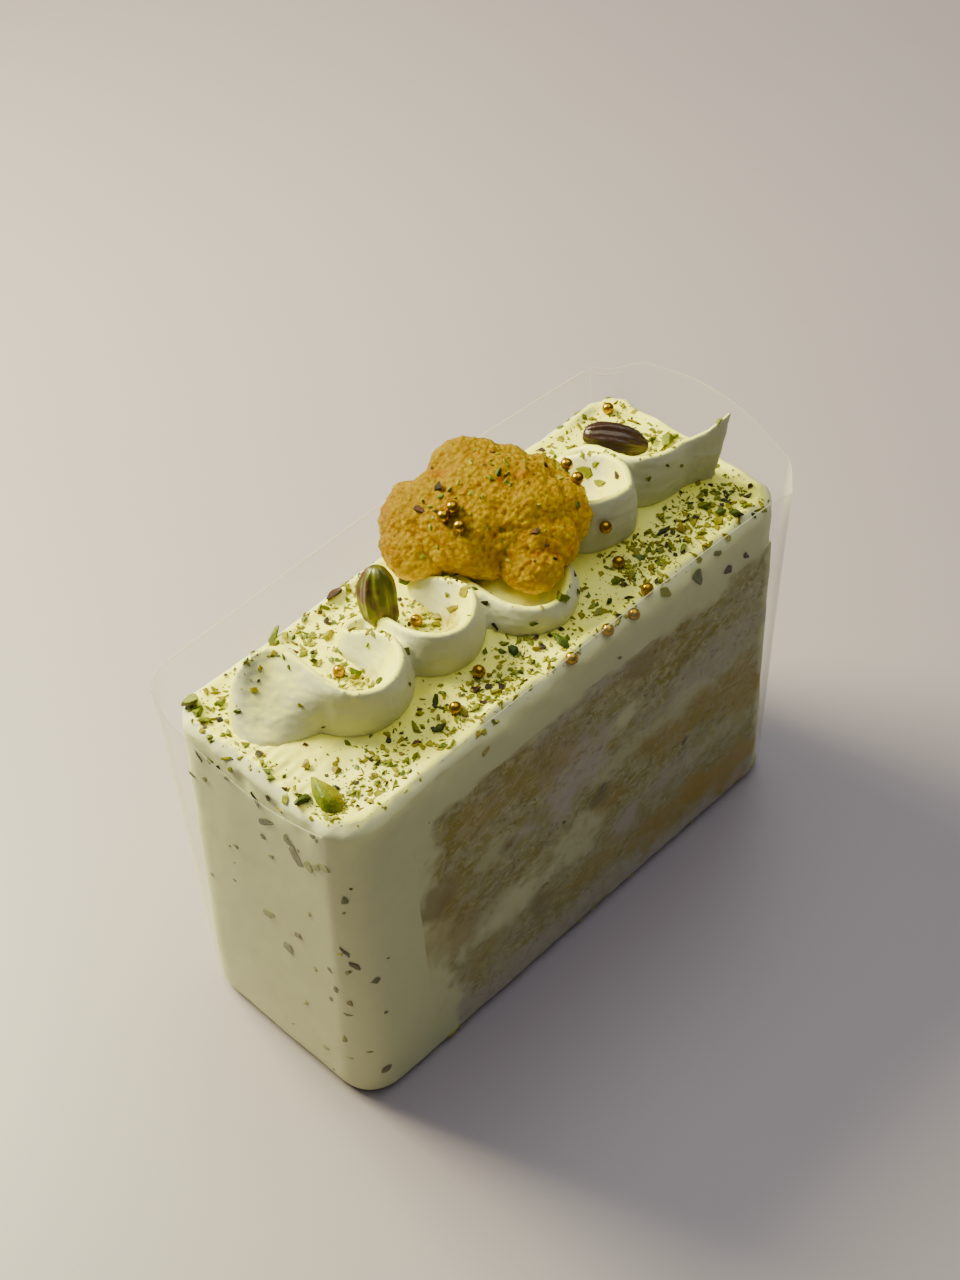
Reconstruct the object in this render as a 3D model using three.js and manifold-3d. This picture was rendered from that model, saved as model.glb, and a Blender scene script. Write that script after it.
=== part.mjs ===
// A rasmalai pastry: a tall slice of milk-soaked sponge layered with cream and saffron filling,
// coated with cream over its top and both ends, cut bare along its two long sides and wrapped in
// a clear film. A wave of piped cream runs along the top, with a torn piece of rasmalai on it,
// pistachios, gold sugar pearls and chopped nuts.
// Millimetres, +Z up. The origin is the middle of the foot. The slice runs along X with its
// thickly coated front end at -X, and the long cut side that shows faces -Y.

import * as THREE from "three";
import { mergeVertices } from "three/addons/utils/BufferGeometryUtils.js";
import Module from "manifold-3d";

const wasm = await Module();
wasm.setup();

// Driving dimensions of the slice
const LENGTH = 120;
const WIDTH = 46.9;
const HEIGHT = 81.2;
const FLARE = 1; // the soft sides spread this much at the foot
const FOOT_CORNER = 8; // radius of the upright corners at the foot and at the top
const TOP_CORNER = 4.2;
const TOP_ROUND = 2.4;
const FOOT_ROUND = 2;
const LIP_HEIGHT = 0.7; // the cream stands up a little along the edges of the top
const LIP_INSET = 2.1;
const LIP_WIDTH = 4; // and slopes back down to the flat top this far in from the side
const CORNER_PEAK = { x: 57, y: -20.5, reach: 5, height: 2 }; // a pulled tip of cream
const GAP = 0.3; // between neighbouring pieces

// Faces along the slice's outline, for the cut side, its far corner, the far end and so on round
const OUTLINE_STEPS = [12, 4, 5, 4, 12, 4, 5, 4];
const SIDE_SHARES = [0.3, 0.6, 0.88]; // heights of the rings between foot and top
const MIDDLE_INSET = 0.3; // share of the width at which the last ring of the top lies

// Ends of the layers: the front end has a thick wall of cream, the far end a thin one
const FRONT_WALL_TOP = 15;
const FRONT_WALL_FOOT = 18;
const FAR_WALL = 4;

// Layers from the foot up: top is the mean height of the upper face, and the face waves by wave
// over a length of pitch, with a shorter wave added to it
const LAYERS = [
  { node: "sponge_base", top: 8, wave: 0.7, pitch: 47, colour: "#b9ac93" },
  { node: "saffron_filling", top: 16.4, wave: 1.1, pitch: 38, colour: "#d9a51c" },
  { node: "cream_lower", top: 24.6, wave: 1.3, pitch: 52, colour: "#e2dcb8" },
  { node: "sponge_lower", top: 41, wave: 1.5, pitch: 44, colour: "#c9b26a" },
  { node: "cream_middle", top: 48.6, wave: 1.6, pitch: 61, colour: "#dcd6b6" },
  { node: "sponge_upper", top: 70.6, wave: 0.9, pitch: 35, colour: "#bfae78" },
];
const LAYER_STEPS = 14;
const SHORT_WAVE = { share: 0.3, pitch: 0.37 };

// Clear film, one strip wrapped once round with its ends lapped on the cut side
const FILM_THICKNESS = 0.35;
const FILM_CLEARANCE = 0.5;
const FILM_FOOT = 0.3;
const FILM_LAP_STEP = 0.8; // how far outside the first turn the lapped end lies
const FILM_LAP_RISE = 0.9; // how much higher its top edge stands there
const FILM_START = 0.13; // shares of the cut side where the strip starts and ends
const FILM_END = 0.78;
const FILM_STEPS = [12, 6, 7, 6, 12, 6, 7, 6];
// How far the top of the film stands off, and how high its top edge is, at the middle of each
// side and corner, from the cut side round by the far end, the left side and the front
const FILM_PLACES = [
  { stand: 0.3, top: 85.6 },
  { stand: 1.8, top: 82 },
  { stand: 7, top: 86 },
  { stand: 2.4, top: 82.4 },
  { stand: 2.6, top: 88.4 },
  { stand: 2.4, top: 87.6 },
  { stand: 0.4, top: 77 },
  { stand: 0.4, top: 87 },
];

// Piped wave: turning points of its rim. The lobes face -Y, and the low returns lie at the back
const WAVE_TURNS = [
  { x: -53.6, y: 9.5, height: 1, lobe: 0 },
  { x: -46, y: 13.5, height: 11, lobe: 0 },
  { x: -34, y: -8.4, height: 10.5, lobe: 1 },
  { x: -24.5, y: 12, height: 4, lobe: 0 },
  { x: -14.5, y: -8.2, height: 10, lobe: 1 },
  { x: -6.5, y: 12, height: 4, lobe: 0 },
  { x: 4.2, y: -14.2, height: 6.5, lobe: 1 },
  { x: 15, y: 12, height: 4, lobe: 0 },
  { x: 30.5, y: -7.8, height: 12.6, lobe: 1 },
  { x: 32.5, y: 12, height: 6, lobe: 0 },
  { x: 46, y: -6.6, height: 12, lobe: 1 },
  { x: 57, y: -10.8, height: 16, lobe: 1 },
];
const WAVE_STEPS = 6; // sections between two turning points
const WAVE_SWAY = 0.2; // how far the rim runs ahead and back within a stretch
const LOBE_SWELL_OUT = 4.2; // sideways swell of a lobe where it leaves to the back
const LOBE_SWELL_IN = 2; // and where it comes back from there
const RIM_HALF = 0.95; // half the thickness just below the rim
const RIM_ROUND = 0.7;
const WALL_SWELL = 1.1; // bulge of the upright side of a lobe
const BOWL_REACH = 9; // width of the sloping inner side of a lobe
const START_REACH = 13; // width of the slanted face where the piping starts
const BACK_REACH = 6.5;
const BOWL_CURVE = 1.6;
const TURN_SHARE = 0.94; // a side may reach this share of the way to the middle of its turn
const SECTION_SHARES = [1, 0.66, 0.33, 0]; // points of a side, from the foot to the rim
const TAIL_LEAN = 4.5; // the last peak leans forward this far over its foot
const TAIL_THINNING = 0.6;

// Torn piece of rasmalai lying over the middle of the wave
const CHUNK_TURN = THREE.MathUtils.degToRad(-44); // its long way lies across a corner
const CHUNK_TILT = THREE.MathUtils.degToRad(25); // and its back is lifted
// Lumps that make it up: middle, with z above the top of the slice, and half sizes along the
// piece, up its tilt and through its thickness
const CHUNK_LUMPS = [
  { at: [7.5, 7.5, 11], half: [15, 11.5, 7.5], rows: 9, sides: 18 },
  { at: [0.5, 16, 9.8], half: [8.5, 7, 6], rows: 7, sides: 12 },
  { at: [-4.6, 13.6, 6.6], half: [6.4, 5.8, 4.6], rows: 6, sides: 11 },
  { at: [13.2, 15, 14.4], half: [8.2, 6.2, 5.2], rows: 6, sides: 12 },
  { at: [20.5, 7, 11], half: [6.8, 6, 5], rows: 6, sides: 11 },
  { at: [19.4, -1.6, 8.8], half: [6.6, 7.4, 5.6], rows: 7, sides: 12 },
  { at: [4.6, -7.6, 6.5], half: [6.2, 4.4, 4], rows: 6, sides: 12 },
  { at: [8.5, -3.2, 9], half: [9, 6.4, 4.6], rows: 6, sides: 12 },
];
const CHUNK_LUMP = 0.07;
const CRAG_COUNT = 20;
const CRAG_RADIUS = 1.7;
const CRAG_REACH = [17, 12]; // half sizes of the area over which the crags stand

// Nuts and sugar pearls
const PEARL_RADIUS = 1.25;
const KERNELS = [
  // whole kernels and the large half: middle of the kernel, half sizes, turns about X, Y and Z
  {
    node: "pistachio_whole",
    at: [-17.6, 10.6, 6.6],
    half: [6.2, 4, 3.7],
    turn: [0, -68, 62],
    colour: "#6f6a1e",
  },
  {
    node: "pistachio_dark",
    at: [44, 8, 5.4],
    half: [6.4, 3.1, 2.9],
    turn: [0, 8, -22],
    colour: "#3d2418",
  },
  {
    node: "pistachio_half",
    at: [-52.6, -12.4, 1.9],
    half: [4.2, 3, 1.9],
    turn: [10, 6, -50],
    colour: "#7c8020",
  },
];
const KERNEL_ROWS = 9;
const KERNEL_SIDES = 12;
const KERNEL_GROOVES = 6;
const KERNEL_GROOVE = 0.06; // depth of a groove as a share of the half size
const KERNEL_POINT = 0.1;

// Larger chips of nut on the coat: place and half sizes
const COAT_CHIPS = [
  { x: -56.2, y: -9.4, half: [2.4, 1.5, 1.2] },
  { x: -54.6, y: 18.6, half: [3, 2, 1.3] },
  { x: -35, y: 20, half: [2.8, 1, 1.5] },
  { x: -20.5, y: 19.6, half: [2.8, 1.7, 1.5] },
  { x: 54, y: 3, half: [2.3, 1.8, 1.9] },
  { x: 48.4, y: -18.6, half: [2.6, 1.6, 1.2] },
  { x: 44.6, y: -17.6, half: [2, 1.4, 1] },
  { x: 29.5, y: -19.6, half: [2.3, 1.8, 0.9] },
  { x: -1, y: -18.4, half: [2.8, 1.7, 1.1] },
  { x: -21.5, y: -16.6, half: [2.8, 1.2, 0.9] },
  { x: 38.5, y: -14.5, half: [2.6, 0.9, 0.9] },
  { x: 55, y: -6.5, half: [2.2, 1.6, 1.4] },
];
const COAT_PEARLS = [
  [-15.4, -12.7],
  [-24.7, -15.5],
  [-1.9, -21.6],
  [8, -21.4],
  [21.9, -13.2],
  [20.3, -20.6],
  [52.8, 18.5],
];
const WAVE_PEARLS = [
  [-34.2, 3.2],
  [-16.6, 1.2],
  [27.6, 4.6],
  [29.8, 5.6],
];
const CHUNK_PEARLS = [
  [3.4, 9.6],
  [0.8, 8.6],
  [0.8, 5.4],
];

// Scattered crumbs of nut: regions of the top, each with its own count
const COAT_CRUMBS = [
  { x: [-52, 54], y: [-20, -10], count: 34 },
  { x: [-52, 54], y: [14, 20], count: 22 },
  { x: [28, 50], y: [-20, -10], count: 26 },
  { x: [-56, -44], y: [-16, 4], count: 9 },
];
const WAVE_CRUMBS = [
  { x: [-40, -27], y: [-4, 8], count: 8 },
  { x: [-21, -9], y: [-4, 8], count: 7 },
  { x: [25, 36], y: [-3, 9], count: 6 },
  { x: [42, 52], y: [-3, 6], count: 5 },
];
const CRUMB_HALF = [0.9, 1.5];
const CRUMB_FLATNESS = 0.6;
const SINK = 0.4; // share of a chip or pearl that is sunk into what carries it
const CLEAR_OF_NEIGHBOURS = 1.35; // a chip grown by this must still miss the other pieces
const SEED = 417;

// Repeatable random numbers from 0 to 1
function makeRandom(seed) {
  let state = seed;
  return () => {
    state = (state * 1664525 + 1013904223) % 4294967296;
    return state / 4294967296;
  };
}
const random = makeRandom(SEED);
const between = (low, high) => low + (high - low) * random();

// A closed surface through rings of points with a fan at each end
function skin(rings) {
  const sides = rings[0].length;
  const vertices = rings.flat();
  const triangles = [];
  for (let row = 0; row + 1 < rings.length; row++) {
    for (let side = 0; side < sides; side++) {
      const next = (side + 1) % sides;
      const a = row * sides + side;
      const b = row * sides + next;
      triangles.push([a, b, b + sides], [a, b + sides, a + sides]);
    }
  }
  const middle = (ring) =>
    ring.reduce((sum, p) => sum.add(p), new THREE.Vector3()).divideScalar(sides);
  const first = vertices.push(middle(rings[0])) - 1;
  const last = vertices.push(middle(rings[rings.length - 1])) - 1;
  const lastRow = (rings.length - 1) * sides;
  for (let side = 0; side < sides; side++) {
    const next = (side + 1) % sides;
    triangles.push([first, next, side], [last, lastRow + side, lastRow + next]);
  }
  const geometry = new THREE.BufferGeometry().setFromPoints(vertices);
  geometry.setIndex(triangles.flat());
  return geometry;
}

// A geometry as a solid that can be joined and cut
function solidOf(geometry) {
  const bare = geometry.clone();
  bare.deleteAttribute("normal");
  bare.deleteAttribute("uv");
  const merged = mergeVertices(bare, 1e-4);
  return new wasm.Manifold(
    new wasm.Mesh({
      numProp: 3,
      vertProperties: new Float32Array(merged.attributes.position.array),
      triVerts: new Uint32Array(merged.index.array),
    }),
  );
}

function geometryOf(solid) {
  const { vertProperties, triVerts } = solid.getMesh();
  const geometry = new THREE.BufferGeometry();
  geometry.setAttribute("position", new THREE.BufferAttribute(vertProperties, 3));
  geometry.setIndex(new THREE.BufferAttribute(triVerts, 1));
  return geometry;
}

function joinAll(solids) {
  return solids.reduce((whole, piece) => whole.add(piece));
}

function largestBody(solid) {
  return solid.decompose().reduce((best, body) => (body.volume() > best.volume() ? body : best));
}

// The space that a solid takes with the gap on every side of it
function withGap(solid) {
  const steps = [
    [1, 1, 1],
    [-1, -1, 1],
    [-1, 1, -1],
    [1, -1, -1],
  ];
  return joinAll([solid, ...steps.map((step) => solid.translate(step.map((way) => way * GAP)))]);
}

// Highest point of a geometry over a place, or null where there is none
function heightOver(geometry, x, y) {
  const position = geometry.attributes.position;
  const index = geometry.index;
  const down = new THREE.Ray(new THREE.Vector3(x, y, 2 * HEIGHT), new THREE.Vector3(0, 0, -1));
  const corner = [new THREE.Vector3(), new THREE.Vector3(), new THREE.Vector3()];
  const hit = new THREE.Vector3();
  let height = null;
  for (let i = 0; i < index.count; i += 3) {
    corner.forEach((point, k) => point.fromBufferAttribute(position, index.getX(i + k)));
    if (down.intersectTriangle(...corner, false, hit) && (height === null || hit.z > height)) {
      height = hit.z;
    }
  }
  return height;
}

// A place on the slice's outline: segments 0 to 7 are the cut side, its far corner, the far end
// and so on, and share runs from 0 to 1 within one
function edgePoint(segment, share, halfLength, halfWidth, radius) {
  const quarter = Math.floor(segment / 2) % 4;
  const along = quarter % 2 ? halfWidth : halfLength;
  const out = quarter % 2 ? halfLength : halfWidth;
  const point = new THREE.Vector2();
  const normal = new THREE.Vector2(0, -1);
  if (segment % 2 === 0) {
    point.set((along - radius) * (2 * share - 1), -out);
  } else {
    const angle = (share - 1) * (Math.PI / 2);
    normal.set(Math.cos(angle), Math.sin(angle));
    point.set(along - radius, radius - out).addScaledVector(normal, radius);
  }
  const turn = quarter * (Math.PI / 2);
  const origin = new THREE.Vector2();
  return { point: point.rotateAround(origin, turn), normal: normal.rotateAround(origin, turn) };
}

const flareAt = (z) => FLARE * (1 - z / HEIGHT);
const cornerAt = (z) => THREE.MathUtils.lerp(FOOT_CORNER, TOP_CORNER, z / HEIGHT);

function outlineRing(z, inset) {
  const ring = [];
  const radius = Math.max(cornerAt(z) - inset, 1);
  OUTLINE_STEPS.forEach((steps, segment) => {
    for (let i = 0; i < steps; i++) {
      const { point } = edgePoint(
        segment,
        i / steps,
        LENGTH / 2 + flareAt(z) - inset,
        WIDTH / 2 + flareAt(z) - inset,
        radius,
      );
      ring.push(new THREE.Vector3(point.x, point.y, z));
    }
  });
  return ring;
}

// The whole slice: rings up the sides, round the top edge, over the lip and in to the middle
function buildBlock() {
  const quarterRound = (radius, share) => radius * (1 - Math.sqrt(1 - (1 - share) ** 2));
  const rings = [0, 0.4, 1].map((share) =>
    outlineRing(FOOT_ROUND * share, quarterRound(FOOT_ROUND, share)),
  );
  for (const share of SIDE_SHARES) {
    rings.push(outlineRing(HEIGHT * share, 0));
  }
  for (const share of [0, 0.55, 0.9]) {
    const z = HEIGHT - TOP_ROUND * (1 - share);
    rings.push(outlineRing(z + LIP_HEIGHT * share, quarterRound(TOP_ROUND, 1 - share)));
  }
  rings.push(outlineRing(HEIGHT + LIP_HEIGHT, LIP_INSET));
  rings.push(outlineRing(HEIGHT, LIP_WIDTH));
  rings.push(outlineRing(HEIGHT, WIDTH * MIDDLE_INSET));
  for (const point of rings.flat()) {
    if (point.z > HEIGHT) {
      const away = Math.hypot(point.x - CORNER_PEAK.x, point.y - CORNER_PEAK.y);
      point.z += CORNER_PEAK.height * Math.max(0, 1 - away / CORNER_PEAK.reach);
    }
  }
  return solidOf(skin(rings));
}

// Upper face of a layer: its mean height with two waves along the slice
function layerTop(layer, x) {
  const phase = layer.top;
  const long = Math.sin((2 * Math.PI * x) / layer.pitch + phase);
  const short = Math.sin((2 * Math.PI * x) / (layer.pitch * SHORT_WAVE.pitch) + 2 * phase);
  return layer.top + layer.wave * THREE.MathUtils.lerp(long, short, SHORT_WAVE.share);
}

const frontWall = (z) =>
  -LENGTH / 2 + FRONT_WALL_FOOT + ((FRONT_WALL_TOP - FRONT_WALL_FOOT) * z) / HEIGHT;

// A prism right through the slice and out of both sides, between two faces given as heights over x
function prismAcross(bottomAt, topAt, shrink) {
  const end = LENGTH / 2 - FAR_WALL - shrink;
  const line = (heightAt) => {
    const points = [];
    for (let i = 0; i <= LAYER_STEPS; i++) {
      const middleX = THREE.MathUtils.lerp(-LENGTH / 2 + FRONT_WALL_TOP, end, i / LAYER_STEPS);
      const z = heightAt(middleX);
      const start = frontWall(z) + shrink;
      points.push(new THREE.Vector2(THREE.MathUtils.lerp(start, end, i / LAYER_STEPS), z));
    }
    return points;
  };
  const outline = new THREE.Shape([...line(bottomAt), ...line(topAt).reverse()]);
  const depth = 2 * WIDTH;
  const geometry = new THREE.ExtrudeGeometry(outline, { depth, bevelEnabled: false });
  geometry.rotateX(Math.PI / 2);
  geometry.translate(0, depth / 2, 0);
  return solidOf(geometry);
}

function buildLayers(block) {
  return LAYERS.map((layer, i) => {
    const under = LAYERS[i - 1];
    const bottomAt = under ? (x) => layerTop(under, x) + GAP : () => -1;
    const prism = prismAcross(bottomAt, (x) => layerTop(layer, x), GAP);
    return { layer, solid: prism.intersect(block) };
  });
}

// The cream over the top and both ends is the slice without its layers
function buildCoat(block) {
  const top = LAYERS[LAYERS.length - 1];
  return block.subtract(prismAcross(() => -2, (x) => layerTop(top, x) + GAP, 0));
}

// A value given at the middle of each of the eight segments, eased from one to the next
function filmValue(key, way) {
  const place = (way - 0.5 + 8) % 8;
  const low = Math.floor(place);
  const ease = (1 - Math.cos(Math.PI * (place - low))) / 2;
  return THREE.MathUtils.lerp(FILM_PLACES[low][key], FILM_PLACES[(low + 1) % 8][key], ease);
}

function filmRing(segment, share) {
  const way = segment + share;
  const lapped = THREE.MathUtils.smoothstep(way, 7, 8);
  const topEdge = filmValue("top", way % 8) + FILM_LAP_RISE * lapped;
  const ring = [];
  for (const [side, z] of [
    [-0.5, FILM_FOOT],
    [-0.5, topEdge],
    [0.5, topEdge],
    [0.5, FILM_FOOT],
  ]) {
    const stand = (filmValue("stand", way % 8) * z) / HEIGHT;
    const out = FILM_CLEARANCE + FILM_LAP_STEP * lapped + stand + FILM_THICKNESS * (side + 0.5);
    const { point, normal } = edgePoint(
      segment % 8,
      share,
      LENGTH / 2 + flareAt(z),
      WIDTH / 2 + flareAt(z),
      cornerAt(z),
    );
    point.addScaledVector(normal, out);
    ring.push(new THREE.Vector3(point.x, point.y, z));
  }
  return ring;
}

function buildFilm() {
  const rings = [];
  for (let segment = 0; segment <= 8; segment++) {
    const from = segment === 0 ? FILM_START : 0;
    const to = segment === 8 ? FILM_END : 1;
    const steps = FILM_STEPS[segment % 8];
    for (let i = 0; i < steps; i++) {
      rings.push(filmRing(segment, THREE.MathUtils.lerp(from, to, i / steps)));
    }
  }
  rings.push(filmRing(8, FILM_END));
  return solidOf(skin(rings));
}

// The rim of the wave: cosine steps across from turn to turn, with the lobes swelling sideways
function wavePoint(stretch, share) {
  const from = WAVE_TURNS[stretch];
  const to = WAVE_TURNS[stretch + 1];
  const ease = (1 - Math.cos(Math.PI * share)) / 2;
  const sway = from.lobe === to.lobe ? 0 : WAVE_SWAY;
  const ahead = share + sway * Math.sin(2 * Math.PI * share);
  const leaving = from.lobe && !to.lobe ? LOBE_SWELL_OUT : 0;
  const coming = !from.lobe && to.lobe && stretch > 1 ? -LOBE_SWELL_IN : 0;
  const swell = (leaving + coming) * Math.sin(Math.PI * share) ** 2;
  const late = from.lobe ? ease ** 2 : 1 - (1 - ease) ** 2;
  return {
    x: THREE.MathUtils.lerp(from.x, to.x, ahead) + swell,
    y: THREE.MathUtils.lerp(from.y, to.y, ease),
    height: THREE.MathUtils.lerp(from.height, to.height, late),
    lobe: THREE.MathUtils.lerp(from.lobe, to.lobe, ease),
  };
}

// Direction of the rim and the radius of its turn at a place, both from three near points
function waveTurn(stretch, share) {
  const step = 0.04;
  const middle = THREE.MathUtils.clamp(share, step, 1 - step);
  const [a, b, c] = [middle - step, middle, middle + step].map((s) => wavePoint(stretch, s));
  const before = new THREE.Vector2(b.x - a.x, b.y - a.y);
  const after = new THREE.Vector2(c.x - b.x, c.y - b.y);
  const turned = before.cross(after) / (before.length() * after.length());
  const radius = (before.length() + after.length()) / 2 / Math.max(Math.abs(turned), 1e-3);
  return { direction: before.add(after).normalize(), radius, left: turned > 0 };
}

// One side of the section, from the rim (0) to the foot (1): upright and swelling where slope
// is 0, a long hollow slope where it is 1
function sidePoint(share, height, slope, reach) {
  const upright = RIM_HALF + WALL_SWELL * Math.sin(Math.PI * (0.15 + 0.75 * share));
  const sloping = THREE.MathUtils.lerp(RIM_HALF, reach, share);
  const fall = (1 - share) * (1 - slope) + (1 - share) ** BOWL_CURVE * slope;
  return [THREE.MathUtils.lerp(upright, sloping, slope), (height - RIM_ROUND) * fall];
}

function waveSection(stretch, share) {
  const { x, y, height, lobe } = wavePoint(stretch, share);
  const { direction, radius, left } = waveTurn(stretch, share);
  const tail = stretch === WAVE_TURNS.length - 2 ? share : 0;
  const thin = 1 - TAIL_THINNING * tail;
  const back = stretch < 2 ? START_REACH : BACK_REACH;
  const bowl = left ? Math.min(BOWL_REACH, radius * TURN_SHARE) : BOWL_REACH;
  const rear = left ? back : Math.min(back, Math.max(radius * TURN_SHARE, RIM_HALF * 2));
  const plus = SECTION_SHARES.map((s) => sidePoint(s, height, lobe, bowl));
  const minus = SECTION_SHARES.map((s) => sidePoint(s, height, 1 - lobe, rear)).reverse();
  const outline = [...plus, [0, height], ...minus.map(([across, up]) => [-across, up])];
  return outline.map(([across, up]) => {
    const lean = TAIL_LEAN * tail ** 2 * (1 - up / height);
    return new THREE.Vector3(
      x - direction.y * across * thin - direction.x * lean,
      y + direction.x * across * thin - direction.y * lean,
      HEIGHT + GAP + up,
    );
  });
}

function buildWave() {
  const stretches = [];
  for (let stretch = 0; stretch + 1 < WAVE_TURNS.length; stretch++) {
    const rings = [];
    for (let i = 0; i <= WAVE_STEPS; i++) {
      rings.push(waveSection(stretch, i / WAVE_STEPS));
    }
    stretches.push(solidOf(skin(rings)));
  }
  return joinAll(stretches);
}

// A rounded body: its half sizes along three axes, with a bump function of the direction
function roundBody(half, rows, sides, bump) {
  const rings = [];
  for (let row = 1; row < rows; row++) {
    const polar = Math.PI * (1 - row / rows);
    const ring = [];
    for (let side = 0; side < sides; side++) {
      const turn = (2 * Math.PI * side) / sides;
      const direction = new THREE.Vector3(
        Math.sin(polar) * Math.cos(turn),
        Math.sin(polar) * Math.sin(turn),
        Math.cos(polar),
      );
      ring.push(direction.clone().multiply(half).multiplyScalar(1 + bump(direction)));
    }
    rings.push(ring);
  }
  return skin(rings);
}

// Lumps of torn rasmalai: three crossing waves over the direction
function chunkBump(direction) {
  const { x, y, z } = direction;
  const broad = Math.sin(3.1 * x + 1.7) * Math.cos(3.7 * y - 0.4);
  const middle = Math.sin(6.3 * x - 5.1 * z + 0.9) * Math.sin(5.7 * y + 2.2);
  const fine = Math.sin(11 * x + 7 * z) * Math.sin(12 * y - 6 * z + 1);
  return CHUNK_LUMP * (0.9 * broad + 0.7 * middle + 0.45 * fine);
}

// Crags stand out of the upper side of the piece, spread by the golden angle
function crags(body) {
  const made = [];
  const geometry = geometryOf(body);
  const [middleX, middleY] = CHUNK_LUMPS[0].at;
  for (let i = 0; i < CRAG_COUNT; i++) {
    const turn = i * Math.PI * (3 - Math.sqrt(5));
    const away = Math.sqrt((i + 0.5) / CRAG_COUNT);
    const place = new THREE.Vector2(CRAG_REACH[0] * away, 0).rotateAround(new THREE.Vector2(), turn);
    place.y *= CRAG_REACH[1] / CRAG_REACH[0];
    place.rotateAround(new THREE.Vector2(), CHUNK_TURN);
    const x = middleX + place.x;
    const y = middleY + place.y;
    const z = heightOver(geometry, x, y);
    if (z !== null) {
      const crag = new THREE.IcosahedronGeometry(CRAG_RADIUS * between(0.7, 1.15), 0);
      crag.rotateX(turn);
      crag.rotateZ(turn * 2);
      made.push(solidOf(crag.translate(x, y, z - CRAG_RADIUS * SINK)));
    }
  }
  return made;
}

function buildChunk(wave, block, kernels) {
  const lumps = CHUNK_LUMPS.map(({ at, half, rows, sides }) => {
    const lump = roundBody(new THREE.Vector3(...half), rows, sides, chunkBump);
    lump.rotateX(CHUNK_TILT);
    lump.rotateZ(CHUNK_TURN);
    return solidOf(lump.translate(at[0], at[1], HEIGHT + at[2]));
  });
  const piece = joinAll(lumps);
  const whole = joinAll([piece, ...crags(piece)]);
  const around = joinAll([wave, block, ...kernels]);
  return largestBody(whole.subtract(withGap(around)));
}

// A pistachio kernel: an egg shape with shallow grooves along it, pointed at one end
function buildKernel(kernel) {
  const half = new THREE.Vector3(kernel.half[2], kernel.half[1], kernel.half[0]);
  const body = roundBody(half, KERNEL_ROWS, KERNEL_SIDES, (direction) => {
    const turn = Math.atan2(direction.y, direction.x);
    const groove = KERNEL_GROOVE * Math.cos(KERNEL_GROOVES * turn) * (1 - direction.z ** 2);
    return groove - KERNEL_POINT * Math.max(0, direction.z) * (1 - Math.abs(direction.z));
  });
  body.rotateY(Math.PI / 2);
  const [turnX, turnY, turnZ] = kernel.turn.map(THREE.MathUtils.degToRad);
  body.rotateX(turnX);
  body.rotateY(turnY);
  body.rotateZ(turnZ);
  return solidOf(body.translate(kernel.at[0], kernel.at[1], HEIGHT + kernel.at[2]));
}

// An irregular chip, as its faces fall when a nut is chopped
function chipGeometry(half, grow) {
  const shape = Math.max(...half) > CRUMB_HALF[1] ? "IcosahedronGeometry" : "OctahedronGeometry";
  const bare = new THREE[shape](1, 0);
  bare.deleteAttribute("normal");
  bare.deleteAttribute("uv");
  const chip = mergeVertices(bare, 1e-4);
  const position = chip.attributes.position;
  for (let i = 0; i < position.count; i++) {
    const uneven = between(0.8, 1.15) * grow;
    position.setXYZ(
      i,
      position.getX(i) * half[0] * uneven,
      position.getY(i) * half[1] * uneven,
      position.getZ(i) * half[2] * uneven,
    );
  }
  return chip;
}

// Sets toppings on a piece, one after another, and leaves out any that would touch a neighbour
function strew(carrier, toppings, neighbours) {
  const surface = geometryOf(carrier);
  const kept = [];
  for (const { x, y, make, half, turn } of toppings) {
    const z = heightOver(surface, x, y);
    const place = (geometry) =>
      solidOf(geometry.rotateZ(turn).translate(x, y, z + half * (1 - 2 * SINK)));
    if (z !== null) {
      const roomy = place(make(CLEAR_OF_NEIGHBOURS));
      if (neighbours.every((other) => other.intersect(roomy).isEmpty())) {
        kept.push(place(make(1)));
      }
    }
  }
  return largestBody(joinAll([carrier, ...kept]));
}

const pearlsAt = (places) =>
  places.map(([x, y]) => ({
    x,
    y,
    half: PEARL_RADIUS,
    turn: 0,
    make: (grow) => new THREE.OctahedronGeometry(PEARL_RADIUS * grow, 1),
  }));

const chipsAt = (chips) =>
  chips.map(({ x, y, half }) => ({
    x,
    y,
    half: half[2],
    turn: between(0, Math.PI),
    make: (grow) => chipGeometry(half, grow),
  }));

function crumbsIn(regions) {
  const chips = [];
  for (const { x, y, count } of regions) {
    for (let i = 0; i < count; i++) {
      const size = between(...CRUMB_HALF);
      const half = [size, size * between(0.6, 0.9), size * CRUMB_FLATNESS];
      // one crumb in each of an even row of cells along the region
      const cell = x[0] + ((x[1] - x[0]) * (i + random())) / count;
      chips.push({ x: cell, y: between(...y), half });
    }
  }
  return chipsAt(chips);
}

function standard(colour, roughness, metalness = 0) {
  return new THREE.MeshStandardMaterial({ color: colour, roughness, metalness });
}

const pastry = new THREE.Group();

function addPiece(name, solid, material) {
  const mesh = new THREE.Mesh(geometryOf(solid), material);
  mesh.name = name;
  pastry.add(mesh);
}

const block = buildBlock();
const kernels = KERNELS.map(buildKernel);
const film = buildFilm();
const bareWave = largestBody(buildWave().subtract(withGap(joinAll(kernels))));
const chunk = buildChunk(bareWave, block, kernels);
const bareCoat = buildCoat(block).subtract(withGap(joinAll(kernels)));

const coat = strew(
  bareCoat,
  [...pearlsAt(COAT_PEARLS), ...chipsAt(COAT_CHIPS), ...crumbsIn(COAT_CRUMBS)],
  [bareWave, chunk, film, ...kernels],
);
const wave = strew(
  bareWave,
  [...pearlsAt(WAVE_PEARLS), ...crumbsIn(WAVE_CRUMBS)],
  [chunk, film, coat, ...kernels],
);
const dressedChunk = strew(chunk, pearlsAt(CHUNK_PEARLS), [wave, film]);

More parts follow.
